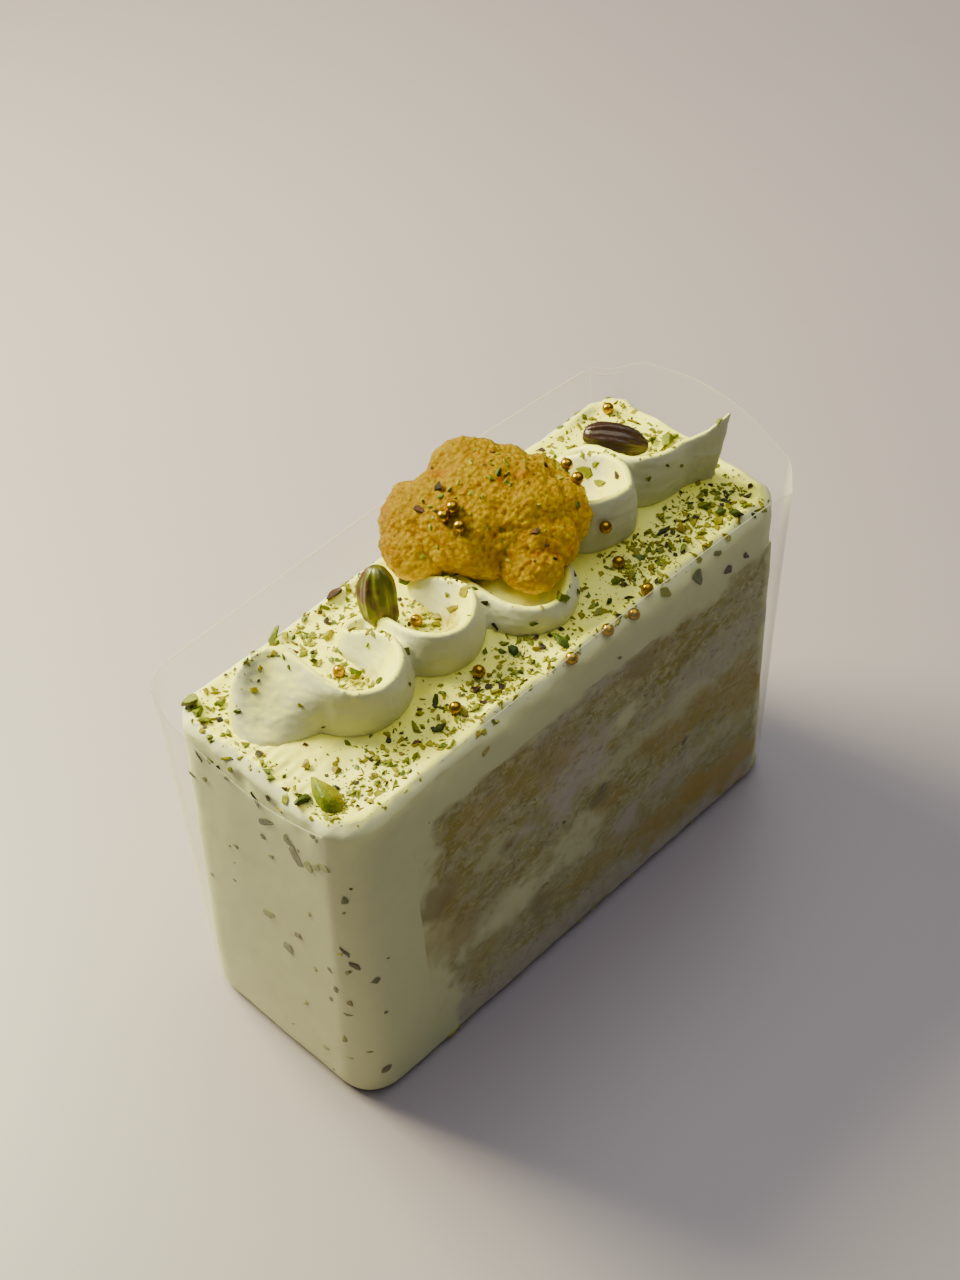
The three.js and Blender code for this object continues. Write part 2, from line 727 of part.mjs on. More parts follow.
for (const { layer, solid } of buildLayers(block)) {
  addPiece(layer.node, solid, standard(layer.colour, 0.9));
}
addPiece("cream_coat", coat, standard("#efeab9", 0.6));
addPiece("piped_wave", wave, standard("#f0ecc0", 0.55));
addPiece("rasmalai_chunk", dressedChunk, standard("#e0a81a", 0.8));
KERNELS.forEach((kernel, i) => {
  addPiece(kernel.node, kernels[i], standard(kernel.colour, 0.5));
});
addPiece("clear_film", film, standard("#f2f4f4", 0.15));

export default pastry;
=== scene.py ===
import bmesh
import bpy
import numpy as np
from mathutils import Matrix, Vector
from mathutils.bvhtree import BVHTree


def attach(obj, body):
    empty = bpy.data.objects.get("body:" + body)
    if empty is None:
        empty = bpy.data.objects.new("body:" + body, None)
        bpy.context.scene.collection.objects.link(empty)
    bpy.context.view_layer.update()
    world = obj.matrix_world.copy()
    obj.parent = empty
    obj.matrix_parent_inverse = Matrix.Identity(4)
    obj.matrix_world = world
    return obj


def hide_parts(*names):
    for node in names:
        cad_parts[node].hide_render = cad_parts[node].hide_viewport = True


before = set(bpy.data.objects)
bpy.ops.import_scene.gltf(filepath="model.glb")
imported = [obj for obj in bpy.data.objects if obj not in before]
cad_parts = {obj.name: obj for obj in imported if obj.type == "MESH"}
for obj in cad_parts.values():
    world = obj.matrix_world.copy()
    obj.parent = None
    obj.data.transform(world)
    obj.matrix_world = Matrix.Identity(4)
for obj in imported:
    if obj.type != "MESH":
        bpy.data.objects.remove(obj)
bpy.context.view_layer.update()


# ---- The cut layers
# The slice is a tower of milk-soaked saffron sponge, whipped cream and a grainy saffron filling,
# pressed together while soft and cut down both long sides. On the cut the layers run into one
# another, so stains of saffron, cream and grey milk cross from layer to layer.
MM = 0.001
LENGTH, WIDTH, HEIGHT = 120.0, 46.9, 81.2
FRONT_WALL_FOOT, FRONT_WALL_TOP, FAR_WALL = 18.0, 15.0, 4.0
FOOT_ROUND = 2
SEAM, BITE = 0.03, 0.3  # gap between layers, and how far they are pressed into the coat's walls
STATIONS, UP_STEP = 225, 0.42  # points along a layer, and about how far apart they are upwards
FAR_STRETCH, FAR_SHIFT = 0.94, 3  # the far side's stains are the near side's from further along
SHADED_SIDE_CREAM = "#d6d9a8"  # cream where it lies against the film, duller than in the open, and painted darker as painted shade

# node, slot, height of its top, wave of its top, pitch of the wave, how open its crumb is
LAYERS = (
    ("sponge_base", "soaked_sponge", 8.0, 0.7, 47.0, 0.6),
    ("saffron_filling", "saffron_filling", 16.4, 1.1, 38.0, 0.85),
    ("cream_lower", "cream", 24.6, 1.3, 52.0, 0.6),
    ("sponge_lower", "sponge", 41.0, 1.5, 44.0, 1.0),
    ("cream_middle", "cream", 48.6, 1.6, 61.0, 0.6),
    ("sponge_upper", "sponge", 70.6, 0.9, 35.0, 1.0),
)
# stains on the cut side: x, z, half length, half height, strength
SAFFRON = (
    (36, 11.5, 24, 5.0, 1.0), (50, 9.5, 12, 5.0, 1.0), (6, 14, 13, 4.5, 0.55),
    (-30, 17, 4, 5, 0.45), (34, 36, 15, 5, 0.6), (50, 31, 6, 7, 0.6), (8, 31, 5, 4, 0.5),
    (-38, 34, 7, 9, 0.4), (-24, 61, 14, 5, 0.35), (-8, 57, 5, 4, 0.45), (20, 64, 10, 4, 0.2),
)
MILK = (
    (-2, 46, 10, 6, 1.0), (2, 54, 9, 6, 0.7), (38, 48, 20, 5, 0.55), (-15, 4, 46, 5, 0.8),
    (35, 2, 24, 4, 0.9), (-36, 10, 5, 6, 0.6), (14, 22, 4, 4, 0.7), (30, 24, 7, 3, 0.6),
    (6, 70, 26, 4, 0.5),
)
CREAM = (
    (-19, 27, 12, 4.5, 1.0), (-2, 29, 7, 5, 0.8), (13, 53, 4, 3, 0.9), (24, 43, 18, 3, 0.5),
    (-25, 46, 5, 3, 0.4), (44, 24, 8, 3, 0.4),
)
FROTH = (
    (4, 63, 14, 6, 1.0), (-22, 58, 9, 6, 0.5), (-43, 56, 5, 6, 0.8), (24, 60, 12, 6, 0.35),
    (-41, 27, 5, 6, 0.5), (-14, 40, 8, 4, 0.45), (-56, 70, 4, 4, 0.4),
)
BAKED = (
    (-40, 46, 5, 5, 0.8), (-20, 45, 2, 1.6, 1.0), (6, 36, 2.4, 2, 1.0), (-12, 18, 3, 4, 0.7),
    (18, 65, 4, 3, 0.6), (-32, 32, 8, 6, 0.35), (-5, 62, 8, 5, 0.3),
)


def grain(x, y, z, size, seed):
    """Value noise from -1 to 1: random numbers on a lattice of the given size in millimetres,
    eased smoothly from each lattice point to the next."""
    values = np.random.default_rng(seed).uniform(-1, 1, (32, 32, 32))
    place = np.stack(np.broadcast_arrays(x, y, z), -1) / size
    cell = np.floor(place).astype(int)
    ease = place - cell
    ease = ease * ease * (3 - 2 * ease)
    total = np.zeros(place.shape[:-1])
    for corner in np.ndindex(2, 2, 2):
        share = np.prod(np.where(corner, ease, 1 - ease), -1)
        i, j, k = np.moveaxis((cell + corner) % 32, -1, 0)
        total += share * values[i, j, k]
    return total


def crumb_pits(x, y, z, size, seed):
    """Distance to the nearest of the points scattered one to each cell of a lattice, as a share
    of the cell: 0 at a point and about 1 in the hollows between them."""
    jitter = np.random.default_rng(seed).uniform(0, 1, (32, 32, 32, 3))
    place = np.stack(np.broadcast_arrays(x, y, z), -1) / size
    cell = np.floor(place).astype(int)
    nearest = np.full(place.shape[:-1], 9.0)
    for step in np.ndindex(3, 3, 3):
        near = cell + np.array(step) - 1
        i, j, k = np.moveaxis(near % 32, -1, 0)
        away = np.linalg.norm(near + jitter[i, j, k] - place, axis=-1)
        nearest = np.minimum(nearest, away)
    return nearest


def corner_radius(z):
    """Radius of the slice's upright corners, 8 mm at the foot and 4.2 mm at the top."""
    return 8 - 3.8 * z / HEIGHT


def half_width(x, z):
    """Half the slice's width at a place: straight sides spreading 1 mm to the foot, a quarter
    circle round each upright corner, and a small round under the foot."""
    spread = 1 - z / HEIGHT
    radius = corner_radius(z)
    past = np.clip(np.abs(x) - (LENGTH / 2 + spread - radius), 0, radius)
    under = np.clip(1 - z / FOOT_ROUND, 0, 1)
    tuck = FOOT_ROUND * (1 - np.sqrt(1 - under**2))
    return WIDTH / 2 + spread - radius + np.sqrt(radius**2 - past**2) - tuck


def layer_top(layer, x):
    """Mean height of the layer's top with a long and a short sine wave along the slice."""
    _, _, top, wave, pitch, _ = layer
    long = np.sin(2 * np.pi * x / pitch + top)
    short = np.sin(2 * np.pi * x / (pitch * 0.37) + 2 * top)
    return top + wave * (0.7 * long + 0.3 * short)


def front_wall(z):
    """How far back the layers start behind the cream of the front end."""
    return -LENGTH / 2 + FRONT_WALL_FOOT + (FRONT_WALL_TOP - FRONT_WALL_FOOT) * z / HEIGHT


def stain(x, z, spots, seed):
    """Share of a stain from 0 to 1: soft ovals, their edges pushed about by noise."""
    ragged = 0.55 * grain(x, 0, z, 5.0, seed) + 0.4 * grain(x, 0, z, 1.7, seed + 1)
    share = np.zeros(np.shape(x))
    for at_x, at_z, half_x, half_z, strength in spots:
        away = np.hypot((x - at_x) / half_x, (z - at_z) / half_z) + ragged
        share = np.maximum(share, strength * np.clip(1.5 - away, 0, 1))
    return share


def film_pressed(x, y, z):
    """How far the film has pressed the slice's sides out or in, unevenly, in millimetres."""
    return 0.12 * grain(x, y, z, 7.0, 10) + 0.07 * grain(x, y, z, 2.2, 11) - 0.12


def cream_margin(x, z, seed):
    """Share of coat cream that smears over the layers along the front wall, under the top and by
    the far wall: full at the border and gone a few millimetres in, its edge pushed by noise."""
    ragged = grain(x, 0, z, 6.0, seed) + 0.6 * grain(x, 0, z, 2.2, seed + 1)
    front = (front_wall(z) + 7.5 + 2.6 * ragged - x) / 3.0
    roof = (z - 67.2 + 2.6 * ragged) / 3.0
    far = (x - 54.2 + 1.5 * ragged) / 2.0
    return np.clip(np.maximum(np.maximum(front, roof), far), 0, 1)


def open_crumb(x, z, seed):
    """How open the crumb is: each layer's own openness, eased into the next one's across a border
    that noise pushes up and down, so that no straight seam shows."""
    tops = [layer[2] for layer in LAYERS]
    heights = np.ravel([(low + 1.5, top - 1.5) for low, top in zip([0] + tops[:-1], tops)])
    opens = np.repeat([layer[5] for layer in LAYERS], 2)
    pushed = z + 2.4 * grain(x, 0, z, 6.0, seed) + 1.4 * grain(x, 0, z, 2.2, seed + 1)
    return np.interp(pushed, heights, opens)


def grid_faces(rows, columns, around):
    """Quads between the points of a grid kept row by row; around joins its last column to its
    first. They face outwards where columns run anticlockwise and rows run up."""
    point = np.arange(rows * columns).reshape(rows, columns)
    if around:
        point = np.hstack([point, point[:, :1]])
    corners = (point[:-1, :-1], point[:-1, 1:], point[1:, 1:], point[1:, :-1])
    return np.stack(corners, -1).reshape(-1, 4).tolist()


def make_piece(name, points, faces, shares=(), smooth=True):
    """A piece from points in millimetres, with named shares kept on its points for its
    material, shaded smooth or in flat facets."""
    mesh = bpy.data.meshes.new(name)
    mesh.from_pydata((np.reshape(points, (-1, 3)) * MM).tolist(), [], faces)
    mesh.polygons.foreach_set("use_smooth", np.full(len(mesh.polygons), smooth))
    for share, values in dict(shares).items():
        kept = mesh.attributes.new(share, "FLOAT", "POINT")
        kept.data.foreach_set("value", np.ravel(values).astype(np.float32))
    piece = bpy.data.objects.new(name, mesh)
    bpy.context.scene.collection.objects.link(piece)
    return piece


def hex_colour(code):
    """An sRGB hex colour turned to linear light, with full alpha."""
    part = np.array([int(code[i : i + 2], 16) for i in (1, 3, 5)]) / 255
    linear = np.where(part <= 0.04045, part / 12.92, ((part + 0.055) / 1.055) ** 2.4)
    return (*linear.tolist(), 1.0)


def add(tree, kind, settings, inputs, output=0):
    """Adds one shader node with its settings and its inputs, each a value, a hex colour or
    another node's output, and gives back the output asked for."""
    made = tree.nodes.new("ShaderNode" + kind)
    for setting, value in settings.items():
        setattr(made, setting, value)
    for socket, value in inputs.items():
        if isinstance(value, bpy.types.NodeSocket):
            tree.links.new(value, made.inputs[socket])
        else:
            plain = hex_colour(value) if isinstance(value, str) else value
            made.inputs[socket].default_value = plain
    return made.outputs[output] if len(made.outputs) else None


def blank_finish(name):
    """An empty node material and its tree."""
    material = bpy.data.materials.new(name)
    material.use_nodes = True
    material.node_tree.nodes.clear()
    return material, material.node_tree


COLOURS = {"data_type": "RGBA"}  # what a Mix node mixes


def tinted(tree, colour, steps):
    """Lays tints over a colour one after another, each growing from nothing where a value is
    low to its greatest share where the value is high."""
    for value, low, high, most, tint in steps:
        share = add(tree, "MapRange", {}, {"Value": value, 1: low, 2: high, 4: most})
        colour = add(tree, "Mix", COLOURS, {0: share, 6: colour, 7: tint}, 2)
    return colour


def soaked_crumb():
    """Sponge crumb soaked in sweet milk, seen through clear film: grey milky matter in which
    yellow crumbs about a millimetre across show through in patches, pale froth of a third of a
    millimetre where it touches the film, browned specks, and stains by the shares kept on the
    mesh."""
    material, tree = blank_finish("soaked_crumb")
    place = add(tree, "TexCoord", {}, {}, "Object")
    drawn = add(
        tree, "VectorMath", {"operation": "MULTIPLY"}, {0: place, 1: (0.75, 1.0, 1.15)}
    )
    patches = add(tree, "TexNoise", {}, {"Vector": drawn, "Scale": 110, "Detail": 3})
    mottle = add(
        tree, "TexNoise", {},
        {"Vector": drawn, "Scale": 330, "Detail": 7, "Roughness": 0.68, "Distortion": 0.6},
    )
    veins = add(
        tree, "TexNoise", {}, {"Vector": drawn, "Scale": 520, "Detail": 6, "Distortion": 1.2}
    )
    bubbles = add(tree, "TexVoronoi", {}, {"Vector": place, "Scale": 2300})
    specks = add(tree, "TexNoise", {}, {"Vector": place, "Scale": 520, "Detail": 3})
    open_share = add(tree, "Attribute", {"attribute_name": "open"}, {}, 2)
    patch = add(tree, "MapRange", {}, {"Value": patches, 1: 0.36, 2: 0.56, 3: 0.45, 4: 1.0})
    crumb = add(tree, "MapRange", {}, {"Value": mottle, 1: 0.46, 2: 0.53})
    crumb = add(tree, "Math", {"operation": "MULTIPLY"}, {0: crumb, 1: patch})
    crumb = add(tree, "Math", {"operation": "MULTIPLY"}, {0: crumb, 1: open_share})
    colour = add(tree, "Mix", COLOURS, {0: crumb, 6: "#aaa678", 7: "#8f8400"}, 2)
    froth = add(tree, "Attribute", {"attribute_name": "froth"}, {}, 2)
    everywhere = (None, 0, 0, 1)
    for value, low, high, most, tint, where in (
        (*everywhere, "#beb2a8", "milk"),
        # the cream share takes the side cream, which is painted darker and greyer as painted shade
        (*everywhere, SHADED_SIDE_CREAM, "cream"),
        (veins, 0.55, 0.62, 0.6, "#cdc896", open_share),
        (veins, 0.43, 0.37, 0.7, "#786e3a", open_share),
        (specks, 0.65, 0.7, 0.7, "#6d5a22", open_share),
        (*everywhere, "#a88a00", "saffron"),
        (*everywhere, "#84743c", "baked"),
        (bubbles, 0.3, 0.1, 0.75, "#e6e4da", froth),
    ):
        if value is None:
            spot = add(tree, "Attribute", {"attribute_name": where}, {}, 2)
        else:
            spot = add(tree, "MapRange", {}, {"Value": value, 1: low, 2: high, 4: most})
            spot = add(tree, "Math", {"operation": "MULTIPLY"}, {0: spot, 1: where})
        colour = add(tree, "Mix", COLOURS, {0: spot, 6: colour, 7: tint}, 2)
    bump = add(tree, "Bump", {}, {"Strength": 0.3, "Distance": 0.0004, "Height": mottle})
    shader = add(
        tree, "BsdfPrincipled", {},
        {
            "Base Color": colour,
            "Roughness": 0.6,
            "Specular IOR Level": 0.15,
            "Subsurface Weight": 0.08,
            "Subsurface Radius": (1.0, 0.75, 0.45),
            "Subsurface Scale": 0.0008,
            "Normal": bump,
        },
    )
    add(tree, "OutputMaterial", {}, {"Surface": shader})
    return material


crumb_finish = soaked_crumb()


def cut_layer(number):
    """One layer as a closed tube: a four-sided profile of long face, foot, long face and top,
    carried along the slice and capped at both ends. Both long faces have pits of crumb."""
    layer = LAYERS[number]
    node, slot, top, _, _, _ = layer
    along = np.linspace(0, 1, STATIONS)[:, None]
    low_top = LAYERS[number - 1][2] if number else 0
    up = np.linspace(1, 0, int((top - low_top) / UP_STEP) + 2)[None, :]
    mean_x = -LENGTH / 2 + FRONT_WALL_TOP + (LENGTH - FRONT_WALL_TOP - FAR_WALL) * along
    floor = layer_top(LAYERS[number - 1], mean_x) + SEAM if number else 0 * mean_x
    z = floor + (layer_top(layer, mean_x) - floor) * up
    start = front_wall(z) - BITE
    x = start + (LENGTH / 2 - FAR_WALL + BITE - start) * along
    sides, shares = [], {}
    for side, turned in ((-1, x), (1, FAR_STRETCH * x + FAR_SHIFT)):
        seed = 40 + 7 * side
        tints = {
            "saffron": stain(turned, z, SAFFRON, seed),
            "milk": stain(turned, z, MILK, seed + 20),
            "cream": np.maximum(
                stain(turned, z, CREAM, seed + 40), cream_margin(x, z, seed + 80)
            ),
            "baked": stain(turned, z, BAKED, seed + 60),
            "froth": stain(turned, z, FROTH, seed + 70),
        }
        smooth = np.maximum(tints["cream"], 0.55 * tints["milk"])
        tints["open"] = open_crumb(x, z, seed + 90) * (1 - 0.9 * smooth)
        pits = crumb_pits(x, 0, z, 1.9, seed) ** 2 * 0.3 + crumb_pits(x, 0, z, 0.9, seed) * 0.14
        lumps = 0.1 * grain(x, 0, z, 6.0, seed + 3)
        depth = tints["open"] * pits + lumps * smooth
        y = side * half_width(x, z)
        depth = 0.01 - film_pressed(x, y, z) + np.maximum(depth, 0)
        sides.append(np.stack([x, y - side * depth, z], -1))
        shares[side] = tints
    points = np.concatenate([sides[0], sides[1][:, ::-1]], 1)
    rows, columns = points.shape[:2]
    faces = grid_faces(rows, columns, True)
    left, right = np.arange(columns // 2), columns - 1 - np.arange(columns // 2)
    cap = np.stack([left[:-1], left[1:], right[1:], right[:-1]], -1)
    faces += cap[:, ::-1].tolist() + (cap + (rows - 1) * columns).tolist()
    both = {
        tint: np.concatenate([shares[-1][tint], shares[1][tint][:, ::-1]], 1) for tint in shares[1]
    }
    piece = make_piece(node + "_cut", points, faces, both)
    piece.data.set_sharp_from_angle(angle=np.radians(65))
    piece.data.materials.append(crumb_finish)
    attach(piece, "root")
    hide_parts(node)
    return piece


layers = [cut_layer(number) for number in range(len(LAYERS))]


# ---- The cream coat
# Whipped cream spread over the top and both ends with a palette knife: soft diagonal strokes on
# the near side, combed lines by the far end, a small lip along the edges and a scraped, flaky
# corner nearest the front. The long sides were cut after it was coated.
LIP = 0.7
AROUND = (205, 10, 70, 10)  # points on a long side, a corner, a short side and a corner
BENEATH_TOP = (81.2, 78.5)  # heights where cream goes over from open to lying against the film and to the side cream, painted darker as painted shade
# how far down the near edge is rounded over, along the slice
NEAR_EDGE_X = (-60, -54, -42, -31, -19, -12, -4, 11, 26, 37, 50, 60)
NEAR_EDGE_ROUND = (1.8, 2.4, 1.2, 1.6, 3.6, 2.6, 1.8, 2.8, 4.4, 4.0, 3.0, 1.8)


def outline(way, half_x, half_y, radius):
    """A point on a rounded rectangle and the way out from it. way counts eight stretches from
    the near long side round by the far end: each quarter is a straight stretch and then a
    corner's arc, turned a right angle from the quarter before."""
    way = np.mod(way, 8)
    stretch = np.floor(way).astype(int)
    share = way - stretch
    quarter = stretch // 2
    ahead = np.where(quarter % 2, half_y, half_x)
    out = np.where(quarter % 2, half_x, half_y)
    straight = stretch % 2 == 0
    angle = (share - 1) * np.pi / 2
    nx = np.where(straight, 0, np.cos(angle))
    ny = np.where(straight, -1, np.sin(angle))
    px = np.where(straight, (ahead - radius) * (2 * share - 1), ahead - radius + radius * nx)
    py = np.where(straight, -out, radius - out + radius * ny)
    c, s = np.cos(quarter * np.pi / 2), np.sin(quarter * np.pi / 2)
    return px * c - py * s, px * s + py * c, nx * c - ny * s, nx * s + ny * c


def knife_marks(x, y):
    """Height of the strokes on the top: noise drawn out along the knife's diagonal way, combed
    lines near the far end, slow swells, and scraped flakes at the near front corner."""
    across, ahead = 0.66 * x + 0.75 * y, 0.75 * x - 0.66 * y
    near = np.clip((2 - y) / 8, 0, 1)
    strokes = 0.55 * grain(across, 0.14 * ahead, 0, 4.2, 1) + 0.24 * grain(
        across, 0.12 * ahead, 0, 1.7, 2
    )
    comb = 0.14 * np.sin(2 * np.pi * (x + 0.05 * y) / 1.7) * np.clip((x - 46) / 4, 0, 1)
    comb += 0.1 * np.sin(2 * np.pi * y / 2.1) * np.clip((-50 - x) / 4, 0, 1)
    swell = 0.5 * grain(x, y, 0, 11.0, 3) + 0.26 * grain(x, y, 0, 3.6, 4)
    fine = 0.09 * grain(x, y, 0, 1.3, 5) + 0.04 * grain(x, y, 0, 0.6, 6)
    corner = np.clip(1 - np.hypot((x + 54) / 16, (y + 22) / 6), 0, 1)
    flakes = corner * (0.5 * np.maximum(0, grain(x, y, 0, 2.0, 7)) - 0.3 * grain(x, y, 0, 0.9, 8))
    return strokes * near + comb + swell + fine + flakes


def coat_skin():
    """The whole slice as rings of a rounded rectangle: round the foot, up the sides, over the
    top edge by a quarter circle whose radius changes along the near side, and in over the top
    until the two long sides meet on the middle line."""
    way = np.concatenate([k + np.arange(n) / n for k, n in enumerate(AROUND * 2)])[None, :]
    top_straight = LENGTH / 2 - corner_radius(HEIGHT)
    near_x = np.interp(way, (0, 1), (-top_straight, top_straight))
    near = np.interp(near_x, NEAR_EDGE_X, NEAR_EDGE_ROUND)
    plain = 2.4 + 0.5 * np.sin(way * 7) + 0.4 * np.sin(way * 17 + 1)
    ease = np.where(way <= 1, 1, np.where(way > 7, way - 7, np.clip(2 - way, 0, 1)))
    near = np.where(way > 7, NEAR_EDGE_ROUND[0], np.where(way > 1, NEAR_EDGE_ROUND[-1], near))
    over = plain + (near - plain) * ease
    foot = np.linspace(0, 1, 6)[:-1, None]
    foot_z = FOOT_ROUND * foot + 0 * way
    foot_in = FOOT_ROUND * (1 - np.sqrt(1 - (1 - foot) ** 2)) + 0 * way
    side = np.linspace(0, 1, 64)[:-1, None]
    side_z = FOOT_ROUND + (HEIGHT - over - FOOT_ROUND) * side
    bend = np.linspace(0, np.pi / 2, 11)[:-1, None]
    bend_z, bend_in = HEIGHT - over * (1 - np.sin(bend)), over * (1 - np.cos(bend))
    top = np.linspace(0, 1, 44)[:, None]
    half = WIDTH / 2
    top_in = over + (half - over) * top
    z = np.concatenate([foot_z, side_z, bend_z, HEIGHT + 0 * top_in])
    inset = np.concatenate([foot_in, 0 * side_z, bend_in, top_in])
    spread = 1 - z / HEIGHT
    half_x, half_y = LENGTH / 2 + spread - inset, half + spread - inset
    radius = np.maximum(corner_radius(z) - inset, 0.3 * np.maximum(half_y, 0))
    x, y, nx, ny = outline(way + 0 * z, half_x, half_y, radius)
    flat = np.clip(inset / over, 0, 1) * (z > HEIGHT / 2)
    lip = LIP * np.exp(-(((inset - 2.3) / 1.2) ** 2)) * (0.8 + 0.5 * grain(x, y, 0, 7.0, 9))
    settle = np.clip((inset - 1) / 2, 0, 1)
    z = z + flat * lip + flat * (0.25 + 0.75 * settle) * knife_marks(x, y)
    wavy = 0.55 * grain(x, y, z, 3.0, 12) * np.clip(1 - np.abs(z - HEIGHT + 3) / 5, 0, 1)
    out = (film_pressed(x, y, z) + np.minimum(wavy, 0.1)) * (1 - flat)
    return np.stack([x + nx * out, y + ny * out, np.maximum(z, 0)], -1)


def stains_on(piece, spots):
    """Keeps a share of saffron stain on a piece: soft balls of colour about given places, each
    x, y, height over the coat, radius and strength, broken up by noise."""
    x, y, z = mesh_arrays(piece)[0].T
    ragged = 0.5 * grain(x, y, z, 1.6, 13) + 0.4 * grain(x, y, z, 0.7, 14)
    share = np.zeros(len(x))
    for at_x, at_y, up, radius, strength in spots:
        away = np.sqrt((x - at_x) ** 2 + (y - at_y) ** 2 + (z - HEIGHT - up) ** 2) / radius
        share = np.maximum(share, strength * np.clip(1.2 - away + ragged, 0, 1))
    keep_share(piece, "stained", share)


def mesh_arrays(piece):
    """Points in millimetres and outward directions of a mesh."""
    count = len(piece.data.vertices)
    points, out = np.empty(count * 3), np.empty(count * 3)
    piece.data.vertices.foreach_get("co", points)
    piece.data.vertices.foreach_get("normal", out)
    return points.reshape(-1, 3) / MM, out.reshape(-1, 3)


def keep_share(piece, name, share):
    """Keeps a share from 0 to 1 on the points of a piece."""
    kept = piece.data.attributes.new(name, "FLOAT", "POINT")
    kept.data.foreach_set("value", np.clip(share, 0, 1).astype(np.float32))


def welded(piece, reach):
    """Merges the points of a piece that lie within reach, in millimetres."""
    shape = bmesh.new()
    shape.from_mesh(piece.data)
    bmesh.ops.remove_doubles(shape, verts=shape.verts, dist=reach * MM)
    bmesh.ops.dissolve_degenerate(shape, edges=shape.edges, dist=1e-9)
    shape.to_mesh(piece.data)
    shape.free()


def settled(piece):
    """Applies a piece's modifiers to its mesh."""
    graph = bpy.context.evaluated_depsgraph_get()
    made = bpy.data.meshes.new_from_object(piece.evaluated_get(graph))
    piece.modifiers.clear()
    old, piece.data = piece.data, made
    bpy.data.meshes.remove(old)
    made.polygons.foreach_set("use_smooth", np.ones(len(made.polygons), bool))
    return piece


def foot_closed(points):
    """Faces of a ring grid with its first ring closed by one face under the foot."""
    rows, columns = points.shape[:2]
    return grid_faces(rows, columns, True) + [list(range(columns))[::-1]]


def layer_space():
    """The space that the layers take: their outline from the side, carried right across."""
    x = np.linspace(-LENGTH / 2 + FRONT_WALL_TOP, LENGTH / 2 - FAR_WALL, 120)
    roof = layer_top(LAYERS[-1], x) + SEAM
    start = front_wall(roof)
    x_roof = start + (LENGTH / 2 - FAR_WALL - start) * np.linspace(0, 1, 120)
    side = np.concatenate(
        [[[front_wall(-3.0), -3.0], [LENGTH / 2 - FAR_WALL, -3.0]], np.c_[x_roof, roof][::-1]]
    )
    count = len(side)
    near = np.c_[side[:, 0], np.full(count, -WIDTH), side[:, 1]]
    points = np.concatenate([near, near * (1, -1, 1)])
    turn = np.arange(count)
    after = (turn + 1) % count
    faces = np.stack([turn, turn + count, after + count, after], -1).tolist()
    return points, faces + [turn.tolist(), (turn[::-1] + count).tolist()]


def whipped_cream(name, own_colour, shade_colour, roughness):
    """Whipped dairy cream tinted by saffron milk: satin, slightly greasy, light scatters a few
    millimetres under the skin, and tiny air bubbles and knife scores roughen it. Below the top
    edge it lies against the film, where it is duller and is also painted darker as painted shade.
    Where the surface turns away from the light, a kept share paints duller, darker cream: painted
    shade."""
    material, tree = blank_finish(name)
    place = add(tree, "TexCoord", {}, {}, "Object")
    clouds = add(tree, "TexNoise", {}, {"Vector": place, "Scale": 130, "Detail": 4})
    bubbles = add(tree, "TexNoise", {}, {"Vector": place, "Scale": 1700, "Detail": 3})
    scores = add(tree, "TexNoise", {}, {"Vector": place, "Scale": 560, "Detail": 4})
    stained = add(tree, "Attribute", {"attribute_name": "stained"}, {}, 2)
    painted_shade = add(tree, "Attribute", {"attribute_name": "painted_shade"}, {}, 2)
    level = add(tree, "SeparateXYZ", {}, {"Vector": place}, 2)
    top, under = BENEATH_TOP
    steps = (
        (clouds, 0.35, 0.7, 1.0, shade_colour),
        (stained, 0.0, 1.0, 1.0, "#a08c00"),
        # painted shade: a duller, darker cream where the kept share says the surface turns from
        # the light
        (painted_shade, 0.0, 1.0, 1.0, "#cfcdaf"),
        # painted shade: below the top edge the cream goes over to the side cream, painted darker
        # and greyer
        (level, top * MM, under * MM, 1.0, SHADED_SIDE_CREAM),
    )
    colour = tinted(tree, own_colour, steps)
    height = add(tree, "Math", {"operation": "MULTIPLY_ADD"}, {0: bubbles, 1: 0.35, 2: scores})
    bump = add(tree, "Bump", {}, {"Strength": 0.22, "Distance": 0.0003, "Height": height})
    rough = add(tree, "MapRange", {}, {"Value": scores, 3: roughness - 0.08, 4: roughness + 0.1})
    shader = add(
        tree, "BsdfPrincipled", {},
        {
            "Base Color": colour,
            "Roughness": rough,
            "Specular IOR Level": 0.3,
            "Subsurface Weight": 0.06,
            "Subsurface Radius": (1.0, 0.85, 0.5),
            "Subsurface Scale": 0.0008,
            "Normal": bump,
        },
    )
    add(tree, "OutputMaterial", {}, {"Surface": shader})
    return material


coat_points = coat_skin()
coat = make_piece("cream_coat_spread", coat_points, foot_closed(coat_points))
welded(coat, 0.002)
space = make_piece("layer_space", *layer_space())
cut = coat.modifiers.new("layers", "BOOLEAN")
cut.operation, cut.solver, cut.object = "DIFFERENCE", "EXACT", space
settled(coat)
bpy.data.objects.remove(space)
coat.data.set_sharp_from_angle(angle=np.radians(65))
stains_on(
    coat,
    (
        (-24.5, -9, 0, 3.5, 0.35), (-38, -14, 0, 3, 0.2), (-50, -17, 0, 2.4, 0.4),
        (-9.4, 1.8, 0.5, 4.0, 0.9), (-10.6, 5.0, 0.3, 3.4, 0.8), (-31, 2.5, 0.3, 3.4, 0.7),
    ),
)
coat_level = mesh_arrays(coat)[1][:, 2]
# painted shade: where the coat turns away from straight up, on its rounded edges, it gets the
# duller, darker cream
keep_share(coat, "painted_shade", (0.96 - coat_level) / 0.22)
coat.data.materials.clear()
coat.data.materials.append(whipped_cream("spread_cream", "#f0eb66", "#e8e25a", 0.5))
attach(coat, "root")
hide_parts("cream_coat")


# ---- The piped wave
# One unbroken ribbon of stiff cream piped from side to side with a flat petal nozzle: its lobes
# stand up towards the near side with a thin bright rim and slope down into open bowls behind,
# and it ends in a pulled point that leans forward at the far end.

